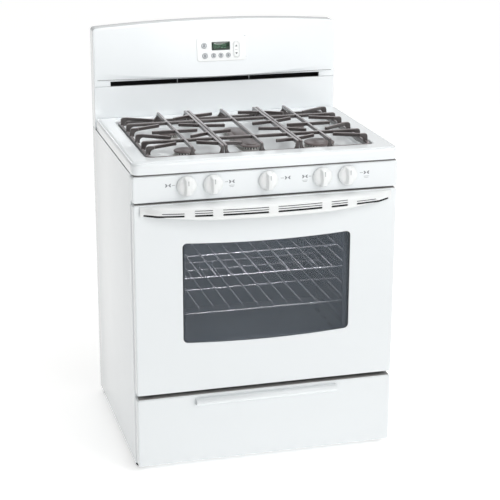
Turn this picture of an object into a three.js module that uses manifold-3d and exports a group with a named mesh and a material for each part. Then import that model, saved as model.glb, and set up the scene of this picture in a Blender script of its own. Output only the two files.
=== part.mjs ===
// Freestanding gas range, 30 inch class, as an assembly of its separate pieces.
// Millimetres, +Z up, the front faces -Y. The origin is on the floor, under the
// middle of the outer box. Sheet metal is drawn at its own thickness.

import * as THREE from "three";
import { mergeVertices } from "three/addons/utils/BufferGeometryUtils.js";
import Module from "manifold-3d";

const wasm = await Module();
wasm.setup();

// ---------------------------------------------------------------- driving dimensions
const WIDTH = 760; // over the side panels
const DEPTH = 695; // rear cover to the crown of the door handle
const HEIGHT = 1199; // floor to the crown of the backguard
const COOKTOP_Z = 914; // top of the cooktop rim, 36 inches
const HANDLE_REACH = 60; // how far the door handle's crown stands off the door face
const SHEET = 1.5; // enamelled steel sheet
const GAP = 0.4; // clearance between pieces that meet

const HALF = WIDTH / 2;
const REAR_Y = DEPTH / 2;
const FACE_Y = HANDLE_REACH - DEPTH / 2; // front face of door, drawer and control panel
const BODY_Y = FACE_Y + 32; // front edge of the side panels
const BASE_Z = 20; // underside of the side panels and of the drawer front

const DRAWER_TOP = 226;
const DOOR_BOTTOM = 238;
const DOOR_TOP = 795;
const PANEL_BOTTOM = 800; // control panel
const PANEL_TOP = 875;
const SKIRT_Z = 880; // lower edge of the cooktop's skirt
const BACKGUARD_Y = 290.5; // front plane of the backguard

const OVEN = { halfWidth: 305, front: -253, rear: 205, bottom: 262, top: 722 };
const OVEN_FLOOR_Z = 308;
const RACK_PITCH = 53; // between rack guides
const LOWER_RACK_Z = 442;
const UPPER_RACK_Z = LOWER_RACK_Z + 2 * RACK_PITCH;

const WELL = { halfWidth: 328, front: -232.5, rear: 245.5, ledge: 898, floor: 888, ledgeWidth: 18 };
const GRATE_TOP = 935;
const BURNER_X = 198;
const REAR_BURNER_Y = 97.5;
const FRONT_BURNER_Y = -127.5;

const KNOB_X = [-230, -156, 0, 156, 230];
const KNOB_Z = 843;
const KNOB_PUSH = 3; // how far a knob is pushed in before it turns

// ---------------------------------------------------------------- finishes
function finish(color, roughness, metalness = 0) {
  return new THREE.MeshStandardMaterial({ color, roughness, metalness });
}
const WHITE_ENAMEL = finish(0xeff2f3, 0.25);
const WHITE_PLASTIC = finish(0xf1f3f3, 0.4);
const GREY_ENAMEL = finish(0x5c6068, 0.45);
const GALVANISED = finish(0xa9adb0, 0.45, 0.9);
const BARE_STEEL = finish(0x9b9ea1, 0.35, 1);
const CHROME_WIRE = finish(0xc9ccd2, 0.2, 1);
const CAST_ALUMINIUM = finish(0xb4b4b2, 0.5, 1);
const GRATE_ENAMEL = finish(0x6b6360, 0.4);
const CAP_ENAMEL = finish(0x857b7a, 0.35);
const TINTED_GLASS = finish(0x4a525b, 0.08);
const DISPLAY_GREEN = finish(0x0d3b22, 0.15);
const DARK_RUBBER = finish(0x2b2b2c, 0.8);
const KEY_GREY = finish(0x50565c, 0.5);

// ---------------------------------------------------------------- solids
function solid(geometry) {
  geometry.deleteAttribute("normal");
  geometry.deleteAttribute("uv");
  const merged = mergeVertices(geometry, 1e-4);
  return new wasm.Manifold(
    new wasm.Mesh({
      numProp: 3,
      vertProperties: Float32Array.from(merged.attributes.position.array),
      triVerts: Uint32Array.from(merged.index.array),
    }),
  );
}

function joined(solids) {
  return solids.reduce((whole, next) => whole.add(next));
}

function cut(whole, tools) {
  return tools.reduce((rest, tool) => rest.subtract(tool), whole);
}

function box(x0, x1, y0, y1, z0, z1) {
  const geometry = new THREE.BoxGeometry(x1 - x0, y1 - y0, z1 - z0);
  geometry.translate((x0 + x1) / 2, (y0 + y1) / 2, (z0 + z1) / 2);
  return solid(geometry);
}

function mirrorPair(x0, x1, y0, y1, z0, z1) {
  return [box(x0, x1, y0, y1, z0, z1), box(-x1, -x0, y0, y1, z0, z1)];
}

function extruded(shape, depth, curveSegments = 4) {
  return new THREE.ExtrudeGeometry(shape, { depth, bevelEnabled: false, curveSegments });
}

// A plan outline (x, y), raised from z0 to z1.
function alongZ(shape, z0, z1, curveSegments) {
  return solid(extruded(shape, z1 - z0, curveSegments).translate(0, 0, z0));
}

// A front outline (x, z), carried from y0 to y1.
function prismY(shape, y0, y1, curveSegments) {
  return extruded(shape, y1 - y0, curveSegments).translate(0, 0, -y1).rotateX(Math.PI / 2);
}

function alongY(shape, y0, y1, curveSegments) {
  return solid(prismY(shape, y0, y1, curveSegments));
}

// A side outline (y, z), carried from x0 to x1.
function alongX(shape, x0, x1, curveSegments) {
  const geometry = extruded(shape, x1 - x0, curveSegments).translate(0, 0, x0);
  return solid(geometry.rotateX(Math.PI / 2).rotateZ(Math.PI / 2));
}

function outline(points) {
  return new THREE.Shape(points.map(([u, v]) => new THREE.Vector2(u, v)));
}

function roundedRect(u0, u1, v0, v1, radius) {
  const shape = new THREE.Shape();
  shape.absarc(u1 - radius, v0 + radius, radius, -Math.PI / 2, 0, false);
  shape.absarc(u1 - radius, v1 - radius, radius, 0, Math.PI / 2, false);
  shape.absarc(u0 + radius, v1 - radius, radius, Math.PI / 2, Math.PI, false);
  shape.absarc(u0 + radius, v0 + radius, radius, Math.PI, Math.PI * 1.5, false);
  shape.closePath();
  return shape;
}

// A round bar between two points.
function rod(from, to, radius, sides = 10) {
  const start = new THREE.Vector3(...from);
  const span = new THREE.Vector3(...to).sub(start);
  const geometry = new THREE.CylinderGeometry(radius, radius, span.length(), sides);
  geometry.translate(0, span.length() / 2, 0);
  const up = new THREE.Vector3(0, 1, 0);
  geometry.applyQuaternion(new THREE.Quaternion().setFromUnitVectors(up, span.normalize()));
  return solid(geometry.translate(start.x, start.y, start.z));
}

// A flat bar on edge between two plan points.
function flatBar([x0, y0], [x1, y1], width, z0, z1) {
  const length = Math.hypot(x1 - x0, y1 - y0);
  const geometry = new THREE.BoxGeometry(length, width, z1 - z0);
  geometry.rotateZ(Math.atan2(y1 - y0, x1 - x0));
  return solid(geometry.translate((x0 + x1) / 2, (y0 + y1) / 2, (z0 + z1) / 2));
}

// A body of revolution about Z from (radius, z) pairs that start and end on the axis.
function lathe(profile, segments) {
  const points = profile.map(([radius, z]) => new THREE.Vector2(radius, z));
  return new THREE.LatheGeometry(points, segments).rotateX(Math.PI / 2);
}

function turned(profile, segments = 20) {
  return solid(lathe(profile, segments));
}

// A closed plate whose front and back are y(x, z) over a grid of columns and rows.
function curvedPlate(xs, rowsAt, front, back) {
  const rows = rowsAt(xs[0]).length;
  const positions = [];
  for (const side of [front, back]) {
    for (const x of xs) {
      for (const z of rowsAt(x)) positions.push(x, side(x, z), z);
    }
  }
  const at = (s, i, j) => s * xs.length * rows + i * rows + j;
  const index = [];
  const quad = (a, b, c, d) => index.push(a, b, c, a, c, d);
  for (let i = 0; i < xs.length - 1; i += 1) {
    for (let j = 0; j < rows - 1; j += 1) {
      quad(at(0, i, j), at(0, i + 1, j), at(0, i + 1, j + 1), at(0, i, j + 1));
      quad(at(1, i, j), at(1, i, j + 1), at(1, i + 1, j + 1), at(1, i + 1, j));
    }
  }
  for (let i = 0; i < xs.length - 1; i += 1) {
    quad(at(0, i, 0), at(1, i, 0), at(1, i + 1, 0), at(0, i + 1, 0));
    quad(at(0, i, rows - 1), at(0, i + 1, rows - 1), at(1, i + 1, rows - 1), at(1, i, rows - 1));
  }
  for (let j = 0; j < rows - 1; j += 1) {
    quad(at(0, 0, j), at(0, 0, j + 1), at(1, 0, j + 1), at(1, 0, j));
    const last = xs.length - 1;
    quad(at(0, last, j), at(1, last, j), at(1, last, j + 1), at(0, last, j + 1));
  }
  const geometry = new THREE.BufferGeometry();
  geometry.setAttribute("position", new THREE.Float32BufferAttribute(positions, 3));
  geometry.setIndex(index);
  return solid(geometry);
}

function evenly(from, to, steps) {
  return Array.from({ length: steps + 1 }, (_, i) => from + ((to - from) * i) / steps);
}

// ---------------------------------------------------------------- the scene graph
const range = new THREE.Group();

function place(name, shape, material, position = [0, 0, 0], parent = range) {
  const { vertProperties, triVerts, numProp } = shape.getMesh();
  const geometry = new THREE.BufferGeometry();
  const positions = new Float32Array((vertProperties.length / numProp) * 3);
  for (let i = 0; i < positions.length / 3; i += 1) {
    positions.set(vertProperties.subarray(i * numProp, i * numProp + 3), i * 3);
  }
  geometry.setAttribute("position", new THREE.BufferAttribute(positions, 3));
  geometry.setIndex(new THREE.BufferAttribute(Uint32Array.from(triVerts), 1));
  geometry.computeVertexNormals();
  const mesh = new THREE.Mesh(geometry, material);
  mesh.name = name;
  mesh.position.set(...position);
  parent.add(mesh);
  return mesh;
}

// ---------------------------------------------------------------- body and base
const PANEL_TOP_Z = 878; // top of the side panels, under the cooktop's skirt
const SIDE_REAR_Y = REAR_Y - SHEET - GAP;

// A side panel: one sheet with its front, rear and top edges folded inwards.
function sidePanel(sign) {
  const outer = sign * HALF;
  const inner = sign * (HALF - SHEET);
  const frontFlange = sign * (HALF - 26);
  const rearFlange = sign * (HALF - 18);
  const section = outline([
    [outer, BODY_Y],
    [outer, SIDE_REAR_Y],
    [rearFlange, SIDE_REAR_Y],
    [rearFlange, SIDE_REAR_Y - SHEET],
    [inner, SIDE_REAR_Y - SHEET],
    [inner, BODY_Y + SHEET],
    [frontFlange, BODY_Y + SHEET],
    [frontFlange, BODY_Y],
  ]);
  const topFlange = [sign * (HALF - 20), outer].sort((a, b) => a - b);
  return joined([
    alongZ(section, BASE_Z, PANEL_TOP_Z),
    box(...topFlange, BODY_Y, BACKGUARD_Y, PANEL_TOP_Z - SHEET, PANEL_TOP_Z),
  ]);
}

place("side_panel_left", sidePanel(-1), WHITE_ENAMEL);
place("side_panel_right", sidePanel(1), WHITE_ENAMEL);

function rearCover() {
  const plate = box(-HALF + 2, HALF - 2, REAR_Y - SHEET, REAR_Y, 40, SKIRT_Z - 6);
  const slots = [];
  for (const z of [640, 660, 760, 780]) {
    for (const x of [-225, -75, 75, 225]) {
      slots.push(box(x - 50, x + 50, REAR_Y - 5, REAR_Y + 5, z - 3, z + 3));
    }
  }
  const gasInlet = rod([345, REAR_Y - 5, 790], [345, REAR_Y + 5, 790], 22, 16);
  return cut(plate, [...slots, gasInlet]);
}

place("rear_cover", rearCover(), GALVANISED);

const LEG = { x: 358, front: -225, rear: 318, rod: 5 };
const GLIDE_Z = 60; // top of the drawer glides

function baseFrame() {
  const side = HALF - SHEET - GAP;
  const front = BODY_Y + SHEET + GAP;
  const rear = SIDE_REAR_Y - SHEET - GAP;
  const ring = cut(box(-side, side, front, rear, 22, 24), [box(-346, 346, front + 28, rear - 28, 20, 26)]);
  const walls = [
    ...mirrorPair(side - 2, side, front, rear, 22, GLIDE_Z),
    box(-side, side, rear - 2, rear, 22, GLIDE_Z),
    ...mirrorPair(345, side, front, rear, GLIDE_Z - 2, GLIDE_Z),
  ];
  const plates = [];
  const holes = [];
  for (const x of [-LEG.x, LEG.x]) {
    for (const y of [LEG.front, LEG.rear]) {
      plates.push(box(x - 12, x + 12, y - 20, y + 20, 24, 28));
      holes.push(rod([x, y, 20], [x, y, 40], LEG.rod + 0.6));
    }
  }
  return cut(joined([ring, ...walls, ...plates]), holes);
}

place("base_frame", baseFrame(), GALVANISED);

function levelingLeg() {
  const pad = turned([[0, 0], [15, 0], [17, 2], [17, 5], [12, 8], [0, 8]], 12);
  return joined([pad, rod([0, 0, 6], [0, 0, 14], 9, 6), rod([0, 0, 12], [0, 0, 56], LEG.rod)]);
}

for (const [name, x, y] of [
  ["leveling_leg_front_left", -LEG.x, LEG.front],
  ["leveling_leg_front_right", LEG.x, LEG.front],
  ["leveling_leg_rear_left", -LEG.x, LEG.rear],
  ["leveling_leg_rear_right", LEG.x, LEG.rear],
]) {
  place(name, levelingLeg(), DARK_RUBBER, [x, y, 0]);
}

// ---------------------------------------------------------------- oven
const FLANGE_Y = BODY_Y + SHEET + GAP; // front face of the oven's flange
const HINGE = { y: -270, z: 247, x: 345 };
const GUIDE_LEVELS = evenly(LOWER_RACK_Z - 2 * RACK_PITCH, LOWER_RACK_Z + 4 * RACK_PITCH, 6);

function ovenLiner() {
  const { halfWidth: w, front, rear, bottom, top } = OVEN;
  const wall = 2;
  const side = HALF - SHEET - GAP;
  const shell = box(-w - wall, w + wall, front, rear + wall, bottom - wall, top + wall);
  const flange = box(-side, side, FLANGE_Y, FLANGE_Y + SHEET, 229, 798);
  const cavity = box(-w, w, FLANGE_Y - 5, rear, bottom, top);
  const guides = [];
  for (const z of [...GUIDE_LEVELS, OVEN_FLOOR_Z]) {
    guides.push(...mirrorPair(w - 9, w + 1, front + 14, rear - 6, z - 3.4, z - GAP));
  }
  const hingeSlots = mirrorPair(HINGE.x - 6, HINGE.x + 6, FLANGE_Y - 5, FLANGE_Y + 5, 240, 292);
  const burnerHole = rod([0, rear - 5, 285], [0, rear + 10, 285], 16, 16);
  const vent = box(-60, 60, rear - 45, rear - 15, top - 5, top + 10);
  const shellAndFlange = cut(joined([shell, flange]), [cavity]);
  return cut(joined([shellAndFlange, ...guides]), [...hingeSlots, burnerHole, vent]);
}

place("oven_liner", ovenLiner(), GREY_ENAMEL);

function ovenFloor() {
  const x = OVEN.halfWidth - 2;
  const plate = box(-x, x, OVEN.front + 12, OVEN.rear - 3, OVEN_FLOOR_Z, OVEN_FLOOR_Z + SHEET);
  const slots = [];
  for (const y of evenly(-180, 140, 5)) {
    slots.push(...mirrorPair(262, 274, y - 20, y + 20, OVEN_FLOOR_Z - 5, OVEN_FLOOR_Z + 5));
  }
  return cut(plate, slots);
}

place("oven_floor", ovenFloor(), GREY_ENAMEL);

function bakeBurner() {
  const tube = rod([0, -170, 285], [0, OVEN.rear + 40, 285], 12, 16);
  const mixer = rod([0, OVEN.rear + 20, 285], [0, OVEN.rear + 62, 285], 15, 16);
  const bore = rod([0, OVEN.rear - 100, 285], [0, OVEN.rear + 80, 285], 9, 16);
  return cut(joined([tube, mixer]), [bore]);
}

place("bake_burner", bakeBurner(), BARE_STEEL);

const RACK = { halfWidth: 301, front: -214, depth: 403, wirePitch: 43.2, stop: 18 };

// A rack: a square-bent wire frame, long wires front to back and a raised rear stop.
function ovenRack() {
  const { halfWidth: w, front, depth, wirePitch, stop } = RACK;
  const rear = front + depth;
  const frame = 5;
  const wire = 4;
  const bars = [
    ...mirrorPair(w - frame, w, front, rear, 0, frame),
    box(-w, w, front - frame, front, 0, frame),
    box(-w + 1, w - 1, front + 205, front + 205 + frame, 0.5, frame - 0.5),
    box(-w + 12, w - 12, rear - wire, rear, stop, stop + wire),
    box(-w + 1, w - 1, rear - 24, rear - 24 + frame, 0.5, frame - 0.5),
  ];
  for (let k = -6; k <= 6; k += 1) {
    const x = k * wirePitch;
    bars.push(box(x - wire / 2, x + wire / 2, front - 2, rear, 2, 2 + wire));
    bars.push(box(x - wire / 2 + 0.2, x + wire / 2 - 0.2, rear - wire + 0.2, rear - 0.2, 3, stop + 2));
  }
  return joined(bars);
}

place("oven_rack_lower", ovenRack(), CHROME_WIRE, [0, 0, LOWER_RACK_Z]);
place("oven_rack_upper", ovenRack(), CHROME_WIRE, [0, 0, UPPER_RACK_Z]);

// ---------------------------------------------------------------- oven door
const DOOR_HALF = HALF - 2;
const DOOR_BACK = BODY_Y - 6; // rear edge of the door skin's folded sides
const WINDOW = { halfWidth: 243, bottom: 387, top: 679, sag: 9, radius: 13 };

// The window outline: upright sides, top and bottom edges that sag in the middle.
function windowOutline(grow) {
  const { halfWidth, bottom, top, sag, radius } = WINDOW;
  const w = halfWidth + grow;
  const low = bottom - grow;
  const high = top + grow;
  const shape = new THREE.Shape();
  shape.moveTo(-w + radius, low);
  shape.quadraticCurveTo(0, low - 2 * sag, w - radius, low);
  shape.quadraticCurveTo(w, low, w, low + radius);
  shape.lineTo(w, high - radius);
  shape.quadraticCurveTo(w, high, w - radius, high);
  shape.quadraticCurveTo(0, high - 2 * sag, -w + radius, high);
  shape.quadraticCurveTo(-w, high, -w, high - radius);
  shape.lineTo(-w, low + radius);
  shape.quadraticCurveTo(-w, low, -w + radius, low);
  return shape;
}

function doorPanel() {
  const skin = box(-DOOR_HALF, DOOR_HALF, FACE_Y, DOOR_BACK, DOOR_BOTTOM, DOOR_TOP);
  const hollow = box(
    -DOOR_HALF + SHEET,
    DOOR_HALF - SHEET,
    FACE_Y + SHEET,
    DOOR_BACK + 5,
    DOOR_BOTTOM + SHEET,
    DOOR_TOP - SHEET,
  );
  const window = alongY(windowOutline(0), FACE_Y - 5, FACE_Y + 5);
  const hingeNotches = mirrorPair(HINGE.x - 9, HINGE.x + 9, HINGE.y - 12, DOOR_BACK + 5, 230, 242);
  return cut(skin, [hollow, window, ...hingeNotches]);
}

function doorGlass() {
  return alongY(windowOutline(18), FACE_Y + SHEET + GAP, FACE_Y + SHEET + GAP + 4);
}

// The inner pan: a flange, a plug that fills the oven's mouth, and the window's tunnel.
const PLUG = { halfWidth: 292, bottom: 276, top: 708, depth: 12 };
const PORT = { halfWidth: 236, bottom: 372, top: 676 };

function doorLiner() {
  const back = BODY_Y - 3;
  const plate = back - SHEET;
  const flange = box(-DOOR_HALF + 3, DOOR_HALF - 3, plate, back, DOOR_BOTTOM + 4, DOOR_TOP - 3);
  const plug = box(-PLUG.halfWidth, PLUG.halfWidth, plate, back + PLUG.depth, PLUG.bottom, PLUG.top);
  const plugHollow = box(
    -PLUG.halfWidth + SHEET,
    PLUG.halfWidth - SHEET,
    plate - 5,
    back + PLUG.depth - SHEET,
    PLUG.bottom + SHEET,
    PLUG.top - SHEET,
  );
  const tunnelFront = FACE_Y + SHEET + GAP + 4 + GAP;
  const { halfWidth: w, bottom, top } = PORT;
  const tunnel = box(
    -w - SHEET,
    w + SHEET,
    tunnelFront,
    back + PLUG.depth,
    bottom - SHEET,
    top + SHEET,
  );
  const port = box(-w, w, tunnelFront - 5, back + PLUG.depth + 5, bottom, top);
  const hingeNotches = mirrorPair(HINGE.x - 9, HINGE.x + 9, plate - 5, back + 5, 230, 268);
  const pan = cut(joined([flange, plug]), [plugHollow]);
  return cut(joined([pan, tunnel]), [port, ...hingeNotches]);
}

function doorInnerGlass() {
  const { halfWidth: w, bottom, top } = PORT;
  const rear = BODY_Y - 3 + PLUG.depth;
  return box(-w + GAP, w - GAP, rear - 6, rear - 2, bottom + GAP, top - GAP);
}

// The handle: a bow across the door's full width, open below for the fingers,
// with rows of cooling slots through its front wall.
const BOW = { halfWidth: 362, endReach: 22, bottom: 752, top: 792, wall: 5, roof: 5 };
const SLOT_ROWS = [768.5, 775.5, 782.5];
const SLOT_HEIGHT = 3;
const SLOT_GROUPS = [
  { from: 13, to: 141, rows: SLOT_ROWS },
  { from: 168, to: 218, rows: SLOT_ROWS },
  { from: 245, to: 352, rows: SLOT_ROWS.slice(1) },
];

function bowReach(x, halfWidth) {
  const fromCentre = (x / halfWidth) ** 2;
  return HANDLE_REACH - (HANDLE_REACH - BOW.endReach) * fromCentre;
}

function bowOutline(inset, back) {
  const w = BOW.halfWidth - inset;
  const front = evenly(-w, w, 16).map((x) => [x, FACE_Y - bowReach(x, BOW.halfWidth) + inset]);
  return outline([...front, [w, back], [-w, back]]);
}

function doorHandle() {
  const back = FACE_Y - GAP;
  const body = alongZ(bowOutline(0, back), BOW.bottom, BOW.top);
  const fingers = alongZ(bowOutline(BOW.wall, back + 5), BOW.bottom - 5, BOW.top - BOW.roof);
  const slots = [];
  for (const { from, to, rows } of SLOT_GROUPS) {
    for (const z of rows) {
      const low = z - SLOT_HEIGHT / 2;
      slots.push(...mirrorPair(from, to, -REAR_Y - 5, FACE_Y - 8, low, low + SLOT_HEIGHT));
    }
  }
  return cut(body, [fingers, ...slots]);
}

// A hinge claw: hooked in the oven's flange, with the pin that the door turns on.
function doorHinge() {
  const claw = outline([
    [HINGE.y - 6, HINGE.z - 6],
    [HINGE.y + 50, HINGE.z - 6],
    [HINGE.y + 50, HINGE.z + 36],
    [HINGE.y + 22, HINGE.z + 36],
    [HINGE.y + 22, HINGE.z + 5],
    [HINGE.y - 6, HINGE.z + 5],
  ]);
  const pin = rod([-8, HINGE.y, HINGE.z], [8, HINGE.y, HINGE.z], 3.5);
  return joined([alongX(claw, -2, 2), pin]);
}

place("door_panel", doorPanel(), WHITE_ENAMEL);
place("door_glass", doorGlass(), TINTED_GLASS);
place("door_liner", doorLiner(), GREY_ENAMEL);
place("door_inner_glass", doorInnerGlass(), TINTED_GLASS);
place("door_handle", doorHandle(), WHITE_PLASTIC);
place("door_hinge_left", doorHinge(), BARE_STEEL, [-HINGE.x, 0, 0]);
place("door_hinge_right", doorHinge(), BARE_STEEL, [HINGE.x, 0, 0]);

// ---------------------------------------------------------------- storage drawer
const DRAWER_BACK = BODY_Y - 4;

function drawerFront() {
  const skin = box(-DOOR_HALF, DOOR_HALF, FACE_Y, DRAWER_BACK, BASE_Z, DRAWER_TOP);
  const hollow = box(
    -DOOR_HALF + SHEET,
    DOOR_HALF - SHEET,
    FACE_Y + SHEET,
    DRAWER_BACK + 5,
    BASE_Z + SHEET,
    DRAWER_TOP - SHEET,
  );
  const grip = rod([-208, FACE_Y - 4, 206], [208, FACE_Y - 4, 206], 11, 20);
  const gripEnds = [
    rod([-210, FACE_Y - 6, 206], [-190, FACE_Y - 6, 206], 6),
    rod([190, FACE_Y - 6, 206], [210, FACE_Y - 6, 206], 6),
  ];
  return cut(joined([skin, grip]), [hollow, ...gripEnds]);
}

const TRAY = { halfWidth: 340, rear: 285, bottom: 30, top: 165 };

function drawerTray() {
  const { halfWidth: w, rear, bottom, top } = TRAY;
  const front = DRAWER_BACK + GAP;
  const tray = box(-w, w, front, rear, bottom, top);
  const hollow = box(-w + SHEET, w - SHEET, front + SHEET, rear - SHEET, bottom + SHEET, top + 5);
  const runners = mirrorPair(w - 1, w + 13, front + 10, rear, GLIDE_Z + GAP, GLIDE_Z + GAP + SHEET);
  return joined([cut(tray, [hollow]), ...runners]);
}

place("drawer_front", drawerFront(), WHITE_ENAMEL);
place("drawer_tray", drawerTray(), GALVANISED);

// ---------------------------------------------------------------- controls
function controlPanel() {
  const w = HALF - 0.5;
  const rear = BODY_Y - 1.5;
  const body = box(-w, w, FACE_Y, rear, PANEL_BOTTOM, PANEL_TOP);
  const hollow = box(-w + 2, w - 2, FACE_Y + 2, rear + 5, PANEL_BOTTOM + 2, PANEL_TOP - 2);
  const stemHoles = KNOB_X.map((x) => rod([x, FACE_Y - 5, KNOB_Z], [x, FACE_Y + 5, KNOB_Z], 7));
  return cut(body, [hollow, ...stemHoles]);
}

place("control_panel", controlPanel(), WHITE_ENAMEL);

const MANIFOLD_Y = -222;
const STEM = { radius: 4, front: FACE_Y - 15, rear: -240 };
const REGULATOR = { x: 345, y: 300, radius: 28 };

// The gas pipe with its five valve bodies and the run back to the regulator.
function gasManifold() {
  const pipe = rod([-300, MANIFOLD_Y, KNOB_Z], [REGULATOR.x, MANIFOLD_Y, KNOB_Z], 10);
  const run = rod([REGULATOR.x, MANIFOLD_Y - 8, KNOB_Z], [REGULATOR.x, 262, KNOB_Z], 8);
  const valves = KNOB_X.flatMap((x) => [
    box(x - 15, x + 15, -258, MANIFOLD_Y + 14, KNOB_Z - 15, KNOB_Z + 15),
    rod([x, FACE_Y + 5, KNOB_Z], [x, -250, KNOB_Z], 9),
  ]);
  const bores = KNOB_X.map((x) => rod([x, FACE_Y, KNOB_Z], [x, -234, KNOB_Z], STEM.radius + 0.6));
  return cut(joined([pipe, run, ...valves]), bores);
}

place("gas_manifold", gasManifold(), BARE_STEEL);

function gasRegulator() {
  const { radius } = REGULATOR;
  const bowl = turned([[0, -18], [radius, -18], [radius, 8], [18, 16], [0, 16]], 20);
  const outlet = rod([0, -37, 0], [0, 0, 0], 11);
  const inlet = rod([0, 0, -53], [0, 0, 0], 12);
  return joined([bowl, outlet, inlet]);
}

place("gas_regulator", gasRegulator(), CAST_ALUMINIUM, [REGULATOR.x, REGULATOR.y, KNOB_Z]);

function valveStem() {
  const stem = rod([0, STEM.front, 0], [0, STEM.rear, 0], STEM.radius);
  const flat = box(-5, 5, STEM.front - 1, FACE_Y - 2, 2.4, 6);
  return cut(stem, [flat]);
}

const KNOB = { radius: 27.5, back: FACE_Y - KNOB_PUSH - 0.7, skirt: 13, grip: 27 };

// A knob: a domed skirt and a thick grip bar, on the stem's flatted end.
function knob() {
  const { radius, skirt, grip } = KNOB;
  const profile = [
    [0, 0], [radius, 0], [radius, 4], [radius - 2.5, 10], [radius - 8, skirt], [0, skirt + 2],
  ];
  const dome = solid(lathe(profile, 24).rotateX(Math.PI / 2));
  const bar = alongX(
    roundedRect(-grip, -2, -radius + 3, radius - 3, 6),
    -7,
    7,
    3,
  );
  const bore = rod([0, 1, 0], [0, -13, 0], STEM.radius + GAP);
  return cut(joined([dome, bar]), [bore]);
}

KNOB_X.forEach((x, i) => {
  place(`valve_stem_${i + 1}`, valveStem(), BARE_STEEL, [x, 0, KNOB_Z]);
  place(`knob_${i + 1}`, knob(), WHITE_PLASTIC, [x, KNOB.back, KNOB_Z]);
});

// ---------------------------------------------------------------- cooktop and burners
const BURNERS = [
  { name: "front_left", x: -BURNER_X, y: FRONT_BURNER_Y, cap: 31 },
  { name: "rear_left", x: -BURNER_X, y: REAR_BURNER_Y, cap: 31 },
  { name: "rear_right", x: BURNER_X, y: REAR_BURNER_Y, cap: 26 },
  { name: "front_right", x: BURNER_X, y: FRONT_BURNER_Y, cap: 44 },
];
const OVAL = { y: -12, half: 95, radius: 32 }; // half: from the middle to an end's centre
const THROAT = 16;
const CAP_Z = 899;

// The well's plan outline, grown or shrunk. A ledge round its edge carries the grates.
function wellOutline(grow) {
  const { halfWidth, front, rear } = WELL;
  return roundedRect(-halfWidth - grow, halfWidth + grow, front - grow, rear + grow, 22 + grow / 2);
}

function cooktop() {
  const w = HALF - 1;
  const front = FACE_Y - 3.5;
  const rear = BACKGUARD_Y - GAP;
  const wall = 2;
  const outer = alongZ(roundedRect(-w, w, front, rear, 16), SKIRT_Z, COOKTOP_Z);
  const under = alongZ(
    roundedRect(-w + wall, w - wall, front + wall, rear - wall, 14),
    SKIRT_Z - 5,
    COOKTOP_Z - wall,
  );
  const { ledge, floor, ledgeWidth } = WELL;
  const tub = joined([
    alongZ(wellOutline(wall), ledge - wall, COOKTOP_Z - 0.5),
    alongZ(wellOutline(wall - ledgeWidth), floor - wall, ledge),
  ]);
  const well = joined([
    alongZ(wellOutline(0), ledge, COOKTOP_Z + 5),
    alongZ(wellOutline(-ledgeWidth), floor, ledge + 5),
  ]);
  const throats = BURNERS.map(({ x, y }) => rod([x, y, 860], [x, y, 900], THROAT + 1, 12));
  const ovalThroat = rod([0, OVAL.y, 860], [0, OVAL.y, 900], THROAT + 1, 12);
  return cut(joined([cut(outer, [under]), tub]), [well, ...throats, ovalThroat]);
}

place("cooktop", cooktop(), WHITE_ENAMEL);

// A burner head stands on the well's floor, its throat through the cooktop.
function burnerHead(capRadius) {
  const rim = capRadius - 4;
  const base = WELL.floor + GAP;
  return turned([
    [0, 858], [THROAT, 858], [THROAT, base], [rim + 2, base], [rim + 2, base + 3],
    [rim, base + 5], [rim, CAP_Z], [rim - 4, CAP_Z], [rim - 5, base + 8], [0, base + 8],
  ]);
}

function burnerCap(radius) {
  return turned([
    [0, 0], [radius, 0], [radius, 2.5], [radius - 2, 5], [radius * 0.5, 6.5], [0, 7],
  ], 24);
}

for (const { name, x, y, cap } of BURNERS) {
  place(`burner_head_${name}`, burnerHead(cap), CAST_ALUMINIUM, [x, y, 0]);
  place(`burner_cap_${name}`, burnerCap(cap), CAP_ENAMEL, [x, y, CAP_Z + GAP]);
}

function stadium(radius, half) {
  const shape = new THREE.Shape();
  shape.absarc(0, half, radius, 0, Math.PI, false);
  shape.absarc(0, -half, radius, Math.PI, 2 * Math.PI, false);
  shape.closePath();
  return shape;
}

function ovalBurnerHead() {
  const base = WELL.floor + GAP;
  const { radius, half } = OVAL;
  const body = alongZ(stadium(radius - 4, half), base, CAP_Z, 6);
  const hollow = alongZ(stadium(radius - 8, half), base + 8, CAP_Z + 5, 6);
  const foot = alongZ(stadium(radius - 2, half), base, base + 3, 6);
  const throat = rod([0, 0, 858], [0, 0, base + 2], THROAT, 12);
  return cut(joined([body, foot, throat]), [hollow]);
}

function ovalBurnerCap() {
  const { radius, half } = OVAL;
  const plate = alongZ(stadium(radius, half), 0, 4, 8);
  const crown = alongZ(stadium(radius - 4, half), 3, 7, 8);
  return joined([plate, crown]);
}

place("burner_head_center", ovalBurnerHead(), CAST_ALUMINIUM, [0, OVAL.y, 0]);
place("burner_cap_center", ovalBurnerCap(), CAP_ENAMEL, [0, OVAL.y, CAP_Z + GAP]);

// ---------------------------------------------------------------- grates
const BAR = { width: 8, height: 10 };
const RING = { width: 9, bottom: WELL.ledge + GAP, top: 909 }; // base rail of a grate
const GRATE_FRONT = -229;
const GRATE_REAR = 240;
const RAIL_X = 323; // outer edge of a side grate's base rail
const INNER_BAR_X = 113; // inner bar of a side grate
const CENTER_BAR_X = 103; // outer bars of the centre grate

function topBar(from, to) {
  return flatBar(from, to, BAR.width, GRATE_TOP - BAR.height, GRATE_TOP);
}

// A leg from a base rail up to a bar's end, flared at the foot to the left and right.
function flaredLeg(x, y, left, right) {
  const half = BAR.width / 2;
  const leg = outline([
    [x - half - left, RING.top - 2],
    [x + half + right, RING.top - 2],
    [x + half, GRATE_TOP - 2],
    [x - half, GRATE_TOP - 2],
  ]);
  return alongY(leg, y - RING.width / 2 + 0.5, y + RING.width / 2 - 0.5);
}

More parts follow.
